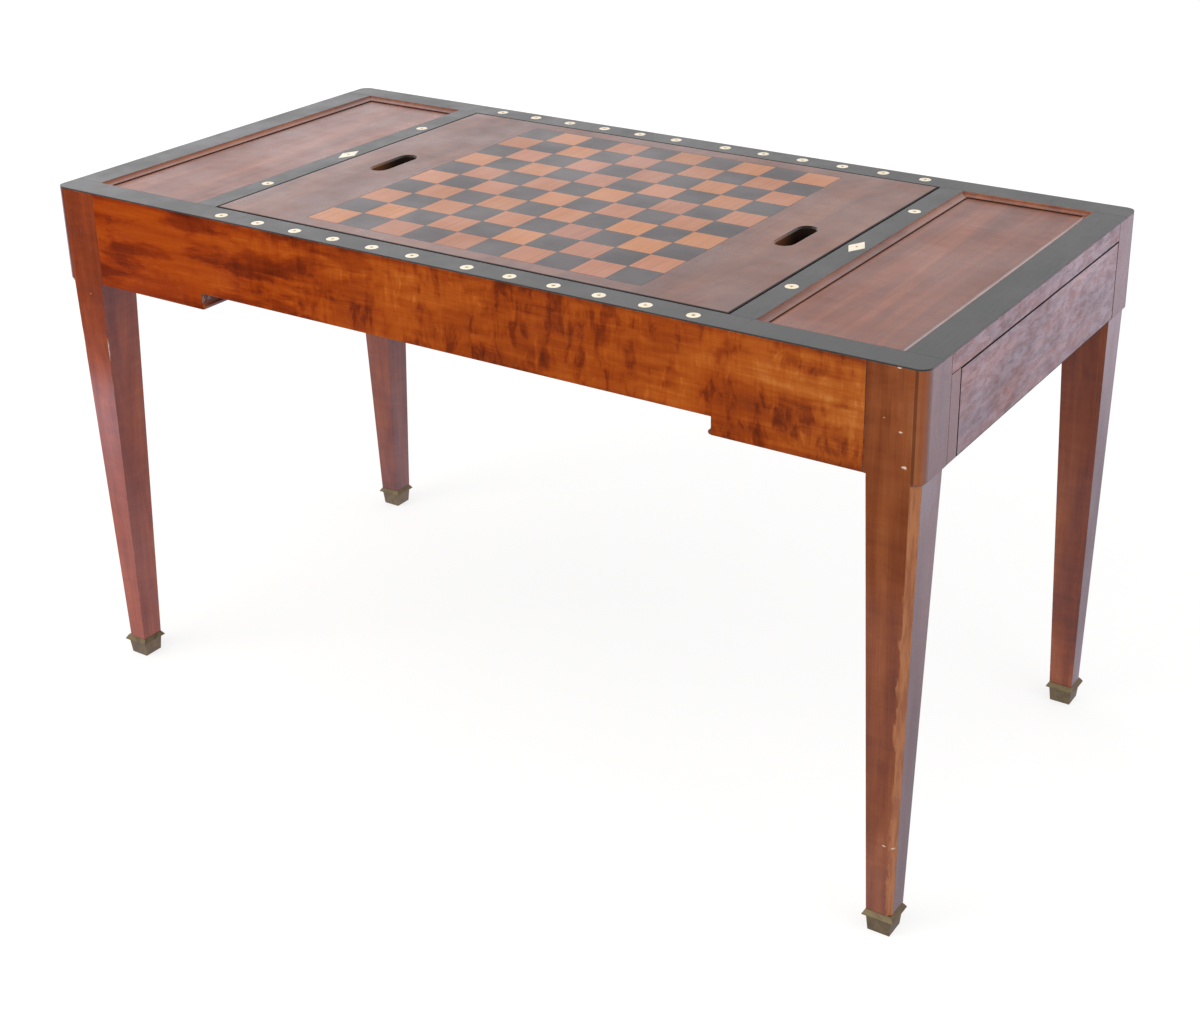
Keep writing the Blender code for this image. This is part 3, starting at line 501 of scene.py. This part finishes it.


# painted sheen: the faces at the right end that look to the right are tinted grey-lilac in place of
# the bluish light and sheen from that side, and higher up, on the blocks, their coat is dulled
def paintedRightSheen(m, color, rough):
    look = paintedRightSheenLook
    low = lowHigh("end_stile_right")[0]
    outside = m.times(m.over(m.facing()["X"], squareFace), m.over(m.where()["X"], low[0]))
    high = m.times(outside, m.spread(m.where()["Z"], low[2] - look["fade"], low[2]))
    m.coat = m.times(m.coat, m.onto(high, look["dulled"], 1.0))
    return m.tinge(color, look["faded"], outside, look["share"]), rough


blackLook = {"black": (0.010, 0.010, 0.011), "skin": 0.0004, "sleeker": -0.06}


# the sides that look into the well are black above its floor
def blackSide(m, color, rough):
    look = blackLook
    side = lowHigh("compartment_wall_right")[0][0] + look["skin"]
    seen = m.times(m.under(m.size(m.where()["X"]), side), m.over(m.where()["Z"], wellFloorFoot))
    return m.mix(seen, color, look["black"]), m.onto(seen, look["sleeker"], rough)


# painted shade: dark lines where a loose piece meets its neighbour stand in for the shade in the gap;
# the look's stain is the colour of that painted shade, and the coat is taken off where it lies
gapShadeLook = {"stain": (0.010, 0.005, 0.004), "panelNear": 0.0032, "panelFar": 0.0010, "drawerRim": 0.0010,
           "drawerGap": 0.0014, "trayFoot": 0.0012, "skin": 0.0012, "full": 0.65, "rough": 0.4}


# with a face given, the painted shade lies only on its own skin, not on the sides behind it
def paintedGapShade(*walls, face=None):
    def step(m, color, rough):
        look = gapShadeLook
        parts = dict(zip("xyz", m.where()))
        found = 0.0
        for axis, wall, reach in walls:
            away = m.size(m.minus(parts[axis], wall))
            found = m.math("MAXIMUM", m.spread(away, reach * look["full"], reach, 1.0, 0.0), found)
        if face:
            behind = m.size(m.minus(parts[face[0]], face[1]))
            skin = m.spread(behind, look["skin"], 2 * look["skin"], 1.0, 0.0)
            found = m.times(found, skin)
        m.coat = m.times(m.minus(1.0, found), m.coat)
        return m.mix(found, color, look["stain"]), m.onto(found, look["rough"], rough)
    return step


# the black border: stain over a close grain, rubbed grey, with fine scratches
ebonyFinish = {
    "deep": (0.0235, 0.0275, 0.0255), "rubbed": (0.058, 0.066, 0.062), "worn": (0.085, 0.055, 0.038),
    "wornShare": 0.8, "roughness": 0.27, "rougher": 0.14, "arris": 0.0008, "relief": 0.00003,
    "grainPerMetre": (6.0, 620.0), "grainNoise": (3.0, 0.55), "grain": 0.5, "cloudPerMetre": (13.0,) * 3,
    "cloudNoise": (5.0, 0.65), "cloudRange": (0.3, 0.75), "cloud": 0.55,
    "scratchPerMetre": (1400.0, 30.0, 30.0), "scratchTurn": (0.0, 0.0, 0.6), "scratchNoise": (1.0, 0.55),
    "scratchRange": (0.64, 0.74), "scratch": 0.15, "wearPerMetre": (34.0,) * 3, "wearNoise": (4.0, 0.55),
    "wearRange": (0.52, 0.66),
}


def ebonyMaterial(name, axis, seed):
    m = finishMaker(name)
    look = ebonyFinish
    lengthwise = m.scaled(alongAxis(axis, *look["grainPerMetre"]), (seed, 0.0, 0.0))
    grain = m.noise(lengthwise, *look["grainNoise"])
    clouds = m.pattern(look, "cloud", (seed, seed, 0.0))
    soft, edge = m.arris(look["arris"])
    cloudy = m.times(m.spread(clouds, *look["cloudRange"]), look["cloud"])
    color = m.mix(m.onto(grain, look["grain"], cloudy), look["deep"], look["rubbed"])
    color = m.tinge(color, look["worn"], edge, m.mask(look, "wear"), look["wornShare"])
    rough = m.spread(clouds, *noiseRange, look["roughness"], look["roughness"] + look["rougher"])
    rough = m.onto(m.mask(look, "scratch"), look["scratch"], rough)
    return m.finish(look, color, rough, grain, soft)


# the squares: the number of the cell under a point gives each its own tone and grain
chequerFinish = {
    "squares": 10, "dark": ((0.016, 0.012, 0.011), (0.046, 0.034, 0.031)),
    "light": ((0.335, 0.104, 0.017), (0.56, 0.196, 0.033)), "lightTint": (0.86, 0.88, 2.3),
    "darkTint": (1.0, 1.0, 1.0), "darkGrain": (5.0, 480.0, 480.0), "jump": 9.0,
    "lightGrain": (480.0, 6.0, 480.0), "grainNoise": (4.0, 0.6, 0.3), "grain": (0.0, 0.5),
    "porePerMetre": (70.0, 2300.0, 2300.0), "poreNoise": (1.0, 0.55), "poreRange": (0.60, 0.72),
    "pores": 0.25, "chance": 0.55, "coatRoughness": 0.25, "smearPerMetre": (9.0,) * 3,
    "smearNoise": (5.0, 0.62), "coat": 0.12, "roughness": (0.27, 0.41), "relief": 0.00003,
    "arris": 0.0004,
}


def cellTones(m, squares):
    pitch = 2 * fieldHalf / squares
    cells = m.vector("FLOOR", m.scaled((1 / pitch, 1 / pitch, 0.0), (squares / 2, squares / 2, 0.5)))
    chance = m.add("TexWhiteNoise", {"Vector": cells}, noise_dimensions="3D")
    return chance.outputs["Value"], chance.outputs["Color"]


def squareMaterial(kind):
    m = finishMaker(kind + "_squares")
    look = chequerFinish
    chance, chances = cellTones(m, look["squares"])
    shifted = m.vector("ADD", m.scaled(look[kind + "Grain"]), m.stretched(chances, look["jump"]))
    grain = m.noise(shifted, *look["grainNoise"])
    soft = m.arris(look["arris"])[0]
    tone = m.onto(chance, look["chance"], m.spread(grain, *noiseRange, *look["grain"]))
    pores = m.times(m.mask(look, "pore"), look["pores"])
    tone = m.minus(tone, pores, clamp=True)
    color = m.mix(tone, *look[kind])
    color = m.mix(m.parts(chances)["Y"], color, m.mix(1.0, color, look[kind + "Tint"], "MULTIPLY"))
    rough = m.spread(m.pattern(look, "smear"), *noiseRange, *look["roughness"])
    return m.finish(look, color, rough, grain, soft)


# polished black of the well
lacquerFinish = {
    "deep": (0.0045, 0.0045, 0.005), "cloudy": (0.014, 0.013, 0.013), "worn": (0.05, 0.045, 0.04),
    "wornShare": 0.35, "cloudPerMetre": (16.0,) * 3, "cloudNoise": (5.0, 0.6), "cloudRange": (0.35, 0.8),
    "scratchPerMetre": (900.0, 24.0, 24.0), "scratchTurn": (0.0, 0.0, 1.0), "scratchNoise": (1.0, 0.55),
    "scratchRange": (0.62, 0.72), "scratch": 0.10, "roughness": (0.09, 0.17), "relief": 0.00004,
    "arris": 0.0007, "coat": 0.5, "coatRoughness": 0.06,
}


def lacquerMaterial(name):
    m = finishMaker(name)
    look = lacquerFinish
    clouds = m.pattern(look, "cloud")
    soft, edge = m.arris(look["arris"])
    color = m.mix(m.spread(clouds, *look["cloudRange"]), look["deep"], look["cloudy"])
    color = m.tinge(color, look["worn"], edge, look["wornShare"])
    rough = m.spread(clouds, *noiseRange, *look["roughness"])
    rough = m.onto(m.mask(look, "scratch"), look["scratch"], rough)
    return m.finish(look, color, rough, clouds, soft)


# bone, plain or stained: pale with fine streaks and flecks, some with a tan peg in the middle
boneFinish = {
    "tones": {"bone": ((0.93, 0.87, 0.72), (0.80, 0.69, 0.48), 0.32),
              "bone_tan": ((0.66, 0.43, 0.22), (0.42, 0.24, 0.11), 0.40),
              "bone_green": ((0.045, 0.20, 0.095), (0.020, 0.110, 0.055), 0.30)},
    "streakPerMetre": (190.0, 1100.0, 190.0), "streakNoise": (3.0, 0.6), "cloudPerMetre": (70.0,) * 3,
    "cloudNoise": (4.0, 0.55), "fleckPerMetre": (900.0, 3800.0, 900.0), "fleckNoise": (1.0, 0.55),
    "fleckRange": (0.63, 0.72), "flecks": 0.35, "fleckTone": 0.45, "streaks": 0.6, "clouds": 0.4,
    "toneRange": (0.35, 0.68), "peg": (0.55, 0.30, 0.13), "pegEdge": (0.0015, 0.0018, 1.0, 0.0),
    "smoother": 0.06, "rougher": 0.08, "relief": 0.00003, "arris": 0.0003,
    "subsurface": {"Subsurface Weight": 0.08, "Subsurface Radius": (0.004, 0.003, 0.002),
                   "Subsurface Scale": 0.3},
}


def boneMaterial(name, tones, pegs=()):
    m = finishMaker(name)
    look = boneFinish
    pale, deep, roughness = look["tones"][tones]
    streaks, clouds = m.pattern(look, "streak"), m.pattern(look, "cloud")
    soft = m.arris(look["arris"])[0]
    tone = m.onto(streaks, look["streaks"], m.times(clouds, look["clouds"]))
    color = m.mix(m.spread(tone, *look["toneRange"]), pale, deep)
    fleck = tuple(part * look["fleckTone"] for part in deep)
    color = m.tinge(color, fleck, m.mask(look, "fleck"), look["flecks"])
    for x, y in pegs:
        aside = m.vector("MULTIPLY", m.vector("SUBTRACT", m.place, (x, y, 0.0)), (1.0, 1.0, 0.0))
        color = m.mix(m.spread(m.vector("LENGTH", aside), *look["pegEdge"]), color, look["peg"])
    rough = m.spread(clouds, *noiseRange, roughness - look["smoother"], roughness + look["rougher"])
    return m.finish(look, color, rough, streaks, soft, **look["subsurface"])


# dull brass of the sabots, pitted, with brighter arrises
brassFinish = {
    "dull": (0.165, 0.124, 0.068), "warm": (0.270, 0.205, 0.110), "grime": (0.034, 0.025, 0.018),
    "grimeShare": 0.6, "bright": (0.42, 0.33, 0.19), "brightShare": 0.8, "cloudPerMetre": (90.0,) * 3,
    "cloudNoise": (5.0, 0.62), "pitPerMetre": (900.0,) * 3, "pitNoise": (2.0, 0.55),
    "pitRange": (0.58, 0.72), "rubPerMetre": (160.0,) * 3, "rubNoise": (3.0, 0.55),
    "rubRange": (0.40, 0.62), "roughness": (0.36, 0.56), "sleeker": -0.08, "relief": 0.0002,
    "arris": 0.0012, "metallic": 0.65,
}


def brassMaterial(name):
    m = finishMaker(name)
    look = brassFinish
    clouds = m.pattern(look, "cloud")
    soft, edge = m.arris(look["arris"])
    color = m.mix(m.spread(clouds, *noiseRange), look["dull"], look["warm"])
    color = m.tinge(color, look["grime"], m.mask(look, "pit"), look["grimeShare"])
    color = m.tinge(color, look["bright"], edge, m.mask(look, "rub"), look["brightShare"])
    rough = m.onto(edge, look["sleeker"], m.spread(clouds, *noiseRange, *look["roughness"]))
    return m.finish(look, color, rough, clouds, soft, Metallic=look["metallic"])


slotFinish = {"stain": (0.022, 0.013, 0.010), "rubbed": (0.21, 0.080, 0.032), "roughness": 0.14,
              "halfWidth": 0.0142, "halfLength": 0.0428, "rubRange": (0.022, -0.040)}


# the walls of the lift-out panel's hand slots are dark and polished, browner towards the front end
def darkSlotWalls(m, color, rough):
    look = slotFinish
    middle = (fieldHalf + panelHalf) / 2
    across = m.size(m.minus(m.size(m.where()["X"]), middle))
    along = m.size(m.where()["Y"])
    inside = m.times(m.under(across, look["halfWidth"]), m.under(along, look["halfLength"]))
    flat = m.add("NewGeometry").outputs["True Normal"]
    level = m.size(m.vector("DOT_PRODUCT", flat, (0.0, 0.0, 1.0)))
    wall = m.times(inside, m.under(level, squareFace))
    stain = m.mix(m.spread(m.where()["Y"], *look["rubRange"]), look["stain"], look["rubbed"])
    duller = look["roughness"] - panelFinish["roughness"]
    return m.mix(wall, color, stain), m.onto(wall, duller, rough)


def dress(name, material):
    mesh = nodes[name].data
    mesh.materials.clear()
    mesh.materials.append(material)


# painted shade along a piece's sides: near is its reach at the front and right, far at back and left
def gapShadeOf(name, axes, near, far, face=None):
    low, high = lowHigh(name)
    walls = []
    for axis in axes:
        place = "xyz".index(axis)
        walls.append((axis, low[place], near if axis == "y" else far))
        walls.append((axis, high[place], near if axis == "x" else far))
    return paintedGapShade(*walls, face=face)


# the drawer front's side that the end rail above it or the stile beside it meets
def drawerSide(name):
    kind = "end_rail" if name.startswith("end_rail") else "end_stile"
    low, high = lowHigh(name.replace(kind, "drawer_front"))
    if kind == "end_rail":
        return "z", high[2]
    ownLow, ownHigh = lowHigh(name)
    return "y", low[1] if abs(ownLow[1]) > abs(ownHigh[1]) else high[1]


# the steps laid over a piece's wood, in their order: its own tone (on two legs painted light and
# shade), the painted sheen at the right end, wear, stains and painted shade along the gaps
def stepsOf(name):
    steps = [toneAndPaintedLight(tonesAndPaintedLight[name])] if name in tonesAndPaintedLight else []
    rim = gapShadeLook["drawerRim"]
    if name in ("leg_front_right", "leg_back_right", "end_stile_right"):
        steps.append(paintedRightSheen)
    if name.startswith("leg_"):
        steps.append(rubbedCorner(name))
        if name in dentLook:
            steps.append(dents(dentLook[name]))
    elif name.startswith("drawer_front"):
        low, high = lowHigh(name)
        steps.append(gapShadeOf(name, "yz", rim, rim, ("x", high[0] if high[0] > 0 else low[0])))
    elif name == "games_panel":
        steps.append(darkSlotWalls)
        steps.append(gapShadeOf(name, "xy", gapShadeLook["panelNear"], gapShadeLook["panelFar"], ("z", tableTop)))
    elif name.startswith("end_"):
        steps.append(paintedGapShade((*drawerSide(name), rim + gapShadeLook["drawerGap"])))
    elif name.startswith("tray_moulding"):
        steps.append(paintedGapShade(("z", lowHigh(name)[0][2], gapShadeLook["trayFoot"])))
    elif name.startswith("compartment_wall"):
        steps.append(blackSide)
    return steps


# a stile is cut from the same plank as the leg beside it, so it takes that leg's seed
def seedOf(name):
    if name.startswith("end_stile"):
        row = "front" if lowHigh(name)[0][1] < 0 else "back"
        name = name.replace("end_stile", "leg_" + row)
    return 1 + sorted(nodes).index(name)


# which wood each node is cut from and the way its grain runs
woodPlan = [
    ("end_rail", "end_", endFinish, "y"), ("drawer_front", "end_", endFinish, "y"),
    ("end_stile", "leg_", dict(legFinish, arris=0.0004), "z"), ("leg_", "leg_", legFinish, "z"),
    ("compartment_wall", "wall_", legFinish, "y"), ("kneehole", "wall_", legFinish, "y"),
    ("games_panel", "panel_", dict(panelFinish, patchPerMetre=(5.0, 15.0)), "y"),
    ("tray_panel", "panel_", panelFinish, "y"),
    ("tray_moulding", "moulding_", legFinish, "y"), ("drawer_back", "oak_", oakFinish, "y"),
    ("drawer_", "oak_", oakFinish, "x"),
]


def dressWoods():
    for name in sorted(nodes):
        seed = seedOf(name)
        if name.startswith("rail_"):
            dress(name, friezeMaterial("frieze_" + name, seed))
        elif name.startswith("border_"):
            axis = "x" if name in ("border_front", "border_back") else "y"
            dress(name, ebonyMaterial("ebony_" + name, axis, seed))
        for start, kind, look, axis in woodPlan:
            if name.startswith(start):
                dress(name, woodFinish(kind + name, look, axis, seed, stepsOf(name)))
                break


dressWoods()
bonePale, boneTan, boneGreen = (boneMaterial(name, name) for name in boneFinish["tones"])
lozenges = [name for name in nodes if name.startswith("bone_")]
lozengeMiddles = [(sum(lowHigh(name)) / 2)[:2] for name in lozenges]
bonePegged = boneMaterial("bone_pegged", "bone", lozengeMiddles)
lacquer = lacquerMaterial("well_black_polish")
brass = brassMaterial("brass_dull")
for name in nodes:
    if name.startswith("well_"):
        dress(name, lacquer)
    if name.startswith("bone_"):
        dress(name, bonePegged)
    if name.startswith("sabot_"):
        dress(name, brass)
dress("chequer_field", squareMaterial("dark"))
print("finishes made:", len(bpy.data.materials))


# new pieces: closed surfaces worked out on grids

def linked(name, data):
    item = bpy.data.objects.new(name, data)
    bpy.context.collection.objects.link(item)
    return item


def addPiece(name, points, faces, material, body, slot, smooth=True):
    mesh = bpy.data.meshes.new(name)
    mesh.from_pydata(points.tolist(), [], faces.tolist())
    mesh.update()
    if smooth:
        mesh.shade_smooth()
        mesh.set_sharp_from_angle(angle=sharpAngle)
    mesh.materials.append(material)
    piece = linked(name, mesh)
    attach(piece, body)


# quads between neighbouring rows of a grid whose rows close on themselves
def tubeFaces(rows, count, loop=False):
    i, j = np.meshgrid(np.arange(rows if loop else rows - 1), np.arange(count), indexing="ij")
    after = (j + 1) % count
    above = (i + 1) % rows
    quads = np.stack([i * count + j, i * count + after, above * count + after, above * count + j], -1)
    return quads.reshape(-1, 4)


# one mesh of equal pieces: the points moved to each place, the faces counted on past the points before
def joinCopies(points, faces, places):
    spots = np.array(places)
    allPoints = (points[None] + spots[:, None]).reshape(-1, 3)
    allFaces = (faces[None] + (np.arange(len(spots)) * len(points))[:, None, None]).reshape(-1, 4)
    return allPoints, allFaces


# a roundel's profile goes round from the hole's foot: rim, groove and lip are steps out and up
roundelLook = {
    "radius": 0.00792, "thickness": 0.00068, "ring": 0.0050, "hole": 0.00225, "ease": 0.0001,
    "rim": ((0.0, -0.00028), (-0.00018, -0.00010), (-0.0008, -0.00003)),
    "groove": ((0.00050, 0.0), (0.00012, -0.00002), (0.0, -0.00010), (-0.00022, -0.00010),
               (-0.00034, -0.00002)),
    "lip": ((0.0003, -0.00002), (0.0, -0.00010)), "sides": 48, "perHalf": 6, "outerGap": 0.0313,
    "middleGap": 0.0392, "rowInset": 0.0165, "crossOut": 0.0145, "crossSpread": 0.1575,
}
# a bush's profile is a plain ring, its upper edges eased and its top just below the border's
bushLook = {"outer": 0.0022, "inner": 0.00100, "thickness": 0.00068, "ease": 0.0001, "sunk": 0.00002,
            "sides": 32}


# a turned ring: at each turn the profile's radius and height go round the axis once
def turnedRing(profile, sides):
    radius, height = np.array(profile).T
    turn = np.arange(sides) * 2 * np.pi / sides
    points = np.stack([radius[:, None] * np.cos(turn), radius[:, None] * np.sin(turn),
                       height[:, None] * np.ones(sides)], -1)
    return points.reshape(-1, 3), tubeFaces(len(radius), sides, loop=True)


def roundelProfile(look):
    radius, bottom, ease = look["radius"], -look["thickness"], look["ease"]
    profile = [(look["hole"], bottom), (radius - ease, bottom), (radius, bottom + ease)]
    for start, steps in ((radius, "rim"), (look["ring"], "groove"), (look["hole"], "lip")):
        profile += [(start + out, up) for out, up in look[steps]]
    return profile


def bushProfile(look):
    inner, outer, bottom = look["inner"], look["outer"], -look["thickness"]
    ease, sunk = look["ease"], look["sunk"]
    return [(inner, bottom), (outer, bottom), (outer, -ease - sunk), (outer - ease, -sunk),
            (inner + ease, -sunk), (inner, -ease)]


def makeRoundels():
    look = roundelLook
    pitch = (halfWell - look["outerGap"] - look["middleGap"]) / (look["perHalf"] - 1)
    half = look["middleGap"] + pitch * np.arange(look["perHalf"])
    across = np.concatenate([-half[::-1], half])
    row = halfDepth - look["rowInset"]
    cross, spread = halfWell + look["crossOut"], look["crossSpread"]
    sets = {"front": [(x, -row, tableTop) for x in across],
            "back": [(x, row, tableTop) for x in across],
            "cross": [(sx * cross, sy * spread, tableTop) for sx in (-1, 1) for sy in (-1, 1)]}
    disc = turnedRing(roundelProfile(look), look["sides"])
    bush = turnedRing(bushProfile(bushLook), bushLook["sides"])
    for name, places in sets.items():
        addPiece("roundels_" + name, *joinCopies(*disc, places), bonePale, "root", "bone")
        addPiece("peg_bushes_" + name, *joinCopies(*bush, places), boneTan, "root", "bone")
    return across


roundelPlaces = makeRoundels()
print("roundels and bushes laid")


tileLook = {"line": 0.00030, "thickness": 0.00054, "ease": 0.00016, "round": 0.3}


# a square tile: four-cornered rows at rising heights, drawn in at the top edge and closed flat
def makeTiles():
    look, squares = tileLook, chequerFinish["squares"]
    pitch = 2 * fieldHalf / squares
    half, ease, bend = pitch / 2 - look["line"], look["ease"], look["ease"] * look["round"]
    rows = [(half, -look["thickness"]), (half, -ease), (half - bend, -bend), (half - ease, 0.0)]
    corners = ((-1, -1), (1, -1), (1, 1), (-1, 1))
    points = np.array([(x * reach, y * reach, height) for reach, height in rows for x, y in corners])
    faces = np.concatenate([tubeFaces(4, 4), [[3, 2, 1, 0]], [[12, 13, 14, 15]]])
    places = [(-fieldHalf + pitch * (i + 0.5), -fieldHalf + pitch * (j + 0.5), tableTop)
              for i in range(squares) for j in range(squares) if (i + j) % 2 == 0]
    addPiece("light_squares", *joinCopies(points, faces, places), squareMaterial("light"), "games_panel",
             "chequer_light", smooth=False)


makeTiles()
print("light squares laid")


pointLook = {
    "length": 0.1845, "base": 0.0172, "tip": 0.0011, "fromWall": 0.0022, "thickness": 0.00054,
    "ease": 0.00018, "stations": 26,
    "kinds": (("green", boneGreen, "green_bone", 0), ("bone", bonePale, "bone", 1)),
}


# a long point: half its width falls evenly from base to tip, and its section is a flat top with
# eased edges carried along the length
def makePoints():
    look = pointLook
    ease, deep, count = look["ease"], look["thickness"], look["stations"]
    along = np.linspace(0, 1, count)
    half = look["base"] / 2 + (look["tip"] - look["base"]) / 2 * along
    base = lowHigh("well_foot_moulding_back")[0][1] - look["fromWall"]
    sideways = np.stack([-half, -half, -half + ease, half - ease, half, half], 1)
    height = np.tile([-deep, -ease, 0.0, 0.0, -ease, -deep], (count, 1))
    last = 6 * (count - 1)
    caps = [[0, 1, 4, 5], [1, 2, 3, 4], [last + 5, last + 4, last + 1, last],
            [last + 4, last + 3, last + 2, last + 1]]
    faces = np.concatenate([tubeFaces(count, 6), caps])
    for row, side in (("front", -1), ("back", 1)):
        y = np.repeat(side * (base - look["length"] * along)[:, None], 6, 1)
        points = np.stack([sideways, y, height], -1).reshape(-1, 3)
        outward = faces[:, ::-side]
        for color, material, slot, odd in look["kinds"]:
            first = odd if side < 0 else 1 - odd
            places = [(x, 0.0, wellFloorTop) for x in roundelPlaces[first::2]]
            name = "points_%s_%s" % (row, color)
            addPiece(name, *joinCopies(points, outward, places), material, "root", slot)


makePoints()
print("points laid in the well")


# floor and backdrop: white where the camera looks, with the table's shadow kept on the floor

# what the polish mirrors of the floor is painted by region, since in the photograph it was no even white
floorLook = {
    "reach": 9.0, "paint": 0.30, "grit": 0.01, "gritPerMetre": (3.0,) * 3, "gritNoise": (4.0, 0.55),
    "ownLight": 0.74, "farLight": 0.86, "near": 1.6, "far": 4.0, "seenMiddle": 0.58, "seenLeft": 0.30,
    "seenFront": 1.45, "seenInner": 0.14, "seenRight": 0.95, "seenLess": -0.22, "seenDark": 0.05,
    "leftTint": (0.84, 0.80, 1.0), "rightTint": (0.86, 0.83, 1.0),
    # from and to which x or y each region's share rises
    "leftY": (-0.53, -0.97), "leftX": (0.0, -0.38), "innerY": (-0.20, 0.30), "innerX": (0.75, 0.45),
    "besideY": (-0.36, -0.50), "besideX": (0.05, 0.30), "behind": (-0.02, 0.08),
    "behindCorner": (0.6, -0.3), "behindSlope": -0.5, "rightX": (0.74, 1.32), "darkY": (-0.99, -0.91),
    "tintX": (0.3, 0.7),
}


def mirroredFloor(m):
    look = floorLook
    x, y = m.where()["X"], m.where()["Y"]

    def inside(kind):
        return m.times(m.spread(y, *look[kind + "Y"]), m.spread(x, *look[kind + "X"]))

    left = m.spread(y, *look["leftY"], look["seenLeft"], look["seenLeft"] + look["seenFront"])
    left = m.times(left, m.spread(x, *look["leftX"]))
    cornerX, cornerY = look["behindCorner"]
    behind = m.onto(m.minus(x, cornerX), look["behindSlope"], m.minus(y, cornerY))
    right = m.times(m.spread(behind, *look["behind"]), m.spread(x, *look["rightX"]))
    seen = m.onto(inside("inner"), look["seenInner"], left)
    seen = m.onto(inside("beside"), look["seenLess"], seen)
    seen = m.math("ADD", seen, m.onto(right, look["seenRight"], look["seenMiddle"]))
    return m.onto(seen, m.spread(y, *look["darkY"]), look["seenDark"])


def makeFloor():
    look = floorLook
    r = look["reach"]
    mesh = bpy.data.meshes.new("studio_floor")
    mesh.from_pydata([(-r, -r, 0), (r, -r, 0), (r, r, 0), (-r, r, 0)], [], [(0, 1, 2, 3)])
    floor = linked("studio_floor", mesh)
    m = finishMaker("studio_floor")
    paint = m.mix(m.pattern(look, "grit"), (look["paint"],) * 3, (look["paint"] + look["grit"],) * 3)
    diffuse = m.add("BsdfDiffuse", {"Color": paint}).outputs[0]
    away = m.vector("LENGTH", m.place)
    own = m.spread(away, look["near"], look["far"], look["ownLight"], look["farLight"])
    lit = m.add("Emission", {"Color": (1.0, 1.0, 1.0, 1.0), "Strength": own})
    white = m.add("AddShader", {0: diffuse, 1: lit.outputs[0]}).outputs[0]
    tint = m.mix(m.spread(m.where()["X"], *look["tintX"]), look["leftTint"], look["rightTint"])
    glow = m.add("Emission", {"Color": tint, "Strength": mirroredFloor(m)}).outputs[0]
    shown = m.choose(m.mirrored(), m.choose(m.seen(), diffuse, white), glow)
    out = next(n for n in m.tree.nodes if n.type == "OUTPUT_MATERIAL")
    m.feed(out.inputs["Surface"], shown)
    mesh.materials.append(m.material)


worldLook = {
    "fill": 0.80, "fillRight": 0.95, "fillX": (0.0, 1.0), "warmth": (1.0, 0.985, 0.97, 1.0),
    "front": 0.06, "sky": 0.88, "lean": -0.35, "leanRange": (-0.45, 0.95), "left": 0.66,
    "leftX": (-0.30, -0.85), "polish": (1.0, 0.965, 1.0, 1.0),
}


# the room seen in the polish: pale behind the table and overhead, dark towards the front
def makeWorld():
    world = bpy.data.worlds.new("studio")
    bpy.context.scene.world = world
    world.use_nodes = True
    world.node_tree.nodes.clear()
    look, w = worldLook, nodeMaker(world.node_tree)

    def light(color, strength):
        return w.add("Background", {"Color": color, "Strength": strength}).outputs[0]

    way = w.parts(w.add("TexCoord").outputs["Generated"])
    lean = w.onto(way["X"], look["lean"], way["Y"])
    room = w.math("ADD", w.spread(lean, *look["leanRange"], look["front"], look["sky"]),
                  w.spread(way["X"], *look["leftX"], 0.0, look["left"]))
    plain = w.spread(way["X"], *look["fillX"], look["fill"], look["fillRight"], way="LINEAR")
    first = w.choose(w.mirrored(), light(look["warmth"], plain), light(look["polish"], room))
    last = w.choose(w.seen(), first, light((1.0, 1.0, 1.0, 1.0), 1.0))
    w.add("OutputWorld", {"Surface": last})


lampLook = [
    {"name": "key_softbox", "place": (-1.6, -2.4, 2.9), "aim": (0.0, 0.0, 0.45), "size": 2.2, "power": 46.0,
     "color": (1.0, 0.97, 0.93)},
    {"name": "right_softbox", "place": (2.6, -0.4, 2.0), "aim": (0.0, 0.0, 0.4), "size": 1.8, "power": 12.0,
     "color": (0.96, 0.97, 1.0)},
    {"name": "front_softbox", "place": (0.2, -3.3, 1.3), "aim": (0.0, 0.0, 0.45), "size": 2.4, "power": 26.0,
     "color": (1.0, 0.98, 0.95)},
]


def makeLamps():
    for look in lampLook:
        lamp = bpy.data.lights.new(look["name"], "AREA")
        lamp.size = look["size"]
        lamp.energy = look["power"]
        lamp.color = look["color"]
        item = linked(look["name"], lamp)
        item.location = look["place"]
        aim = Vector(look["aim"]) - Vector(look["place"])
        item.rotation_euler = aim.to_track_quat("-Z", "Y").to_euler()


# the photograph's place and angle, fitted to the table's corners in it
cameraLook = {
    "place": (1.2810, -1.8603, 1.3788), "ahead": (-0.4899, 0.7801, -0.3891),
    "right": (0.8483, 0.5296, -0.0064), "lens": 56.27, "sensor": 36.0, "shift": (-0.05, -0.10),
    "clipEnd": 60.0,
}


def makeCamera():
    look = cameraLook
    camera = bpy.data.cameras.new("camera")
    camera.sensor_width = look["sensor"]
    camera.lens = look["lens"]
    camera.shift_x, camera.shift_y = look["shift"]
    camera.clip_end = look["clipEnd"]
    item = linked("camera", camera)
    ahead = Vector(look["ahead"]).normalized()
    right = Vector(look["right"]).normalized()
    up = right.cross(ahead).normalized()
    right = ahead.cross(up)
    turn = Matrix((right, up, -ahead)).transposed()
    item.matrix_world = Matrix.Translation(look["place"]) @ turn.to_4x4()
    bpy.context.scene.camera = item


makeFloor()
makeWorld()
makeLamps()
makeCamera()
bpy.context.scene.view_settings.view_transform = "Standard"
print("stage, lamps and camera set")
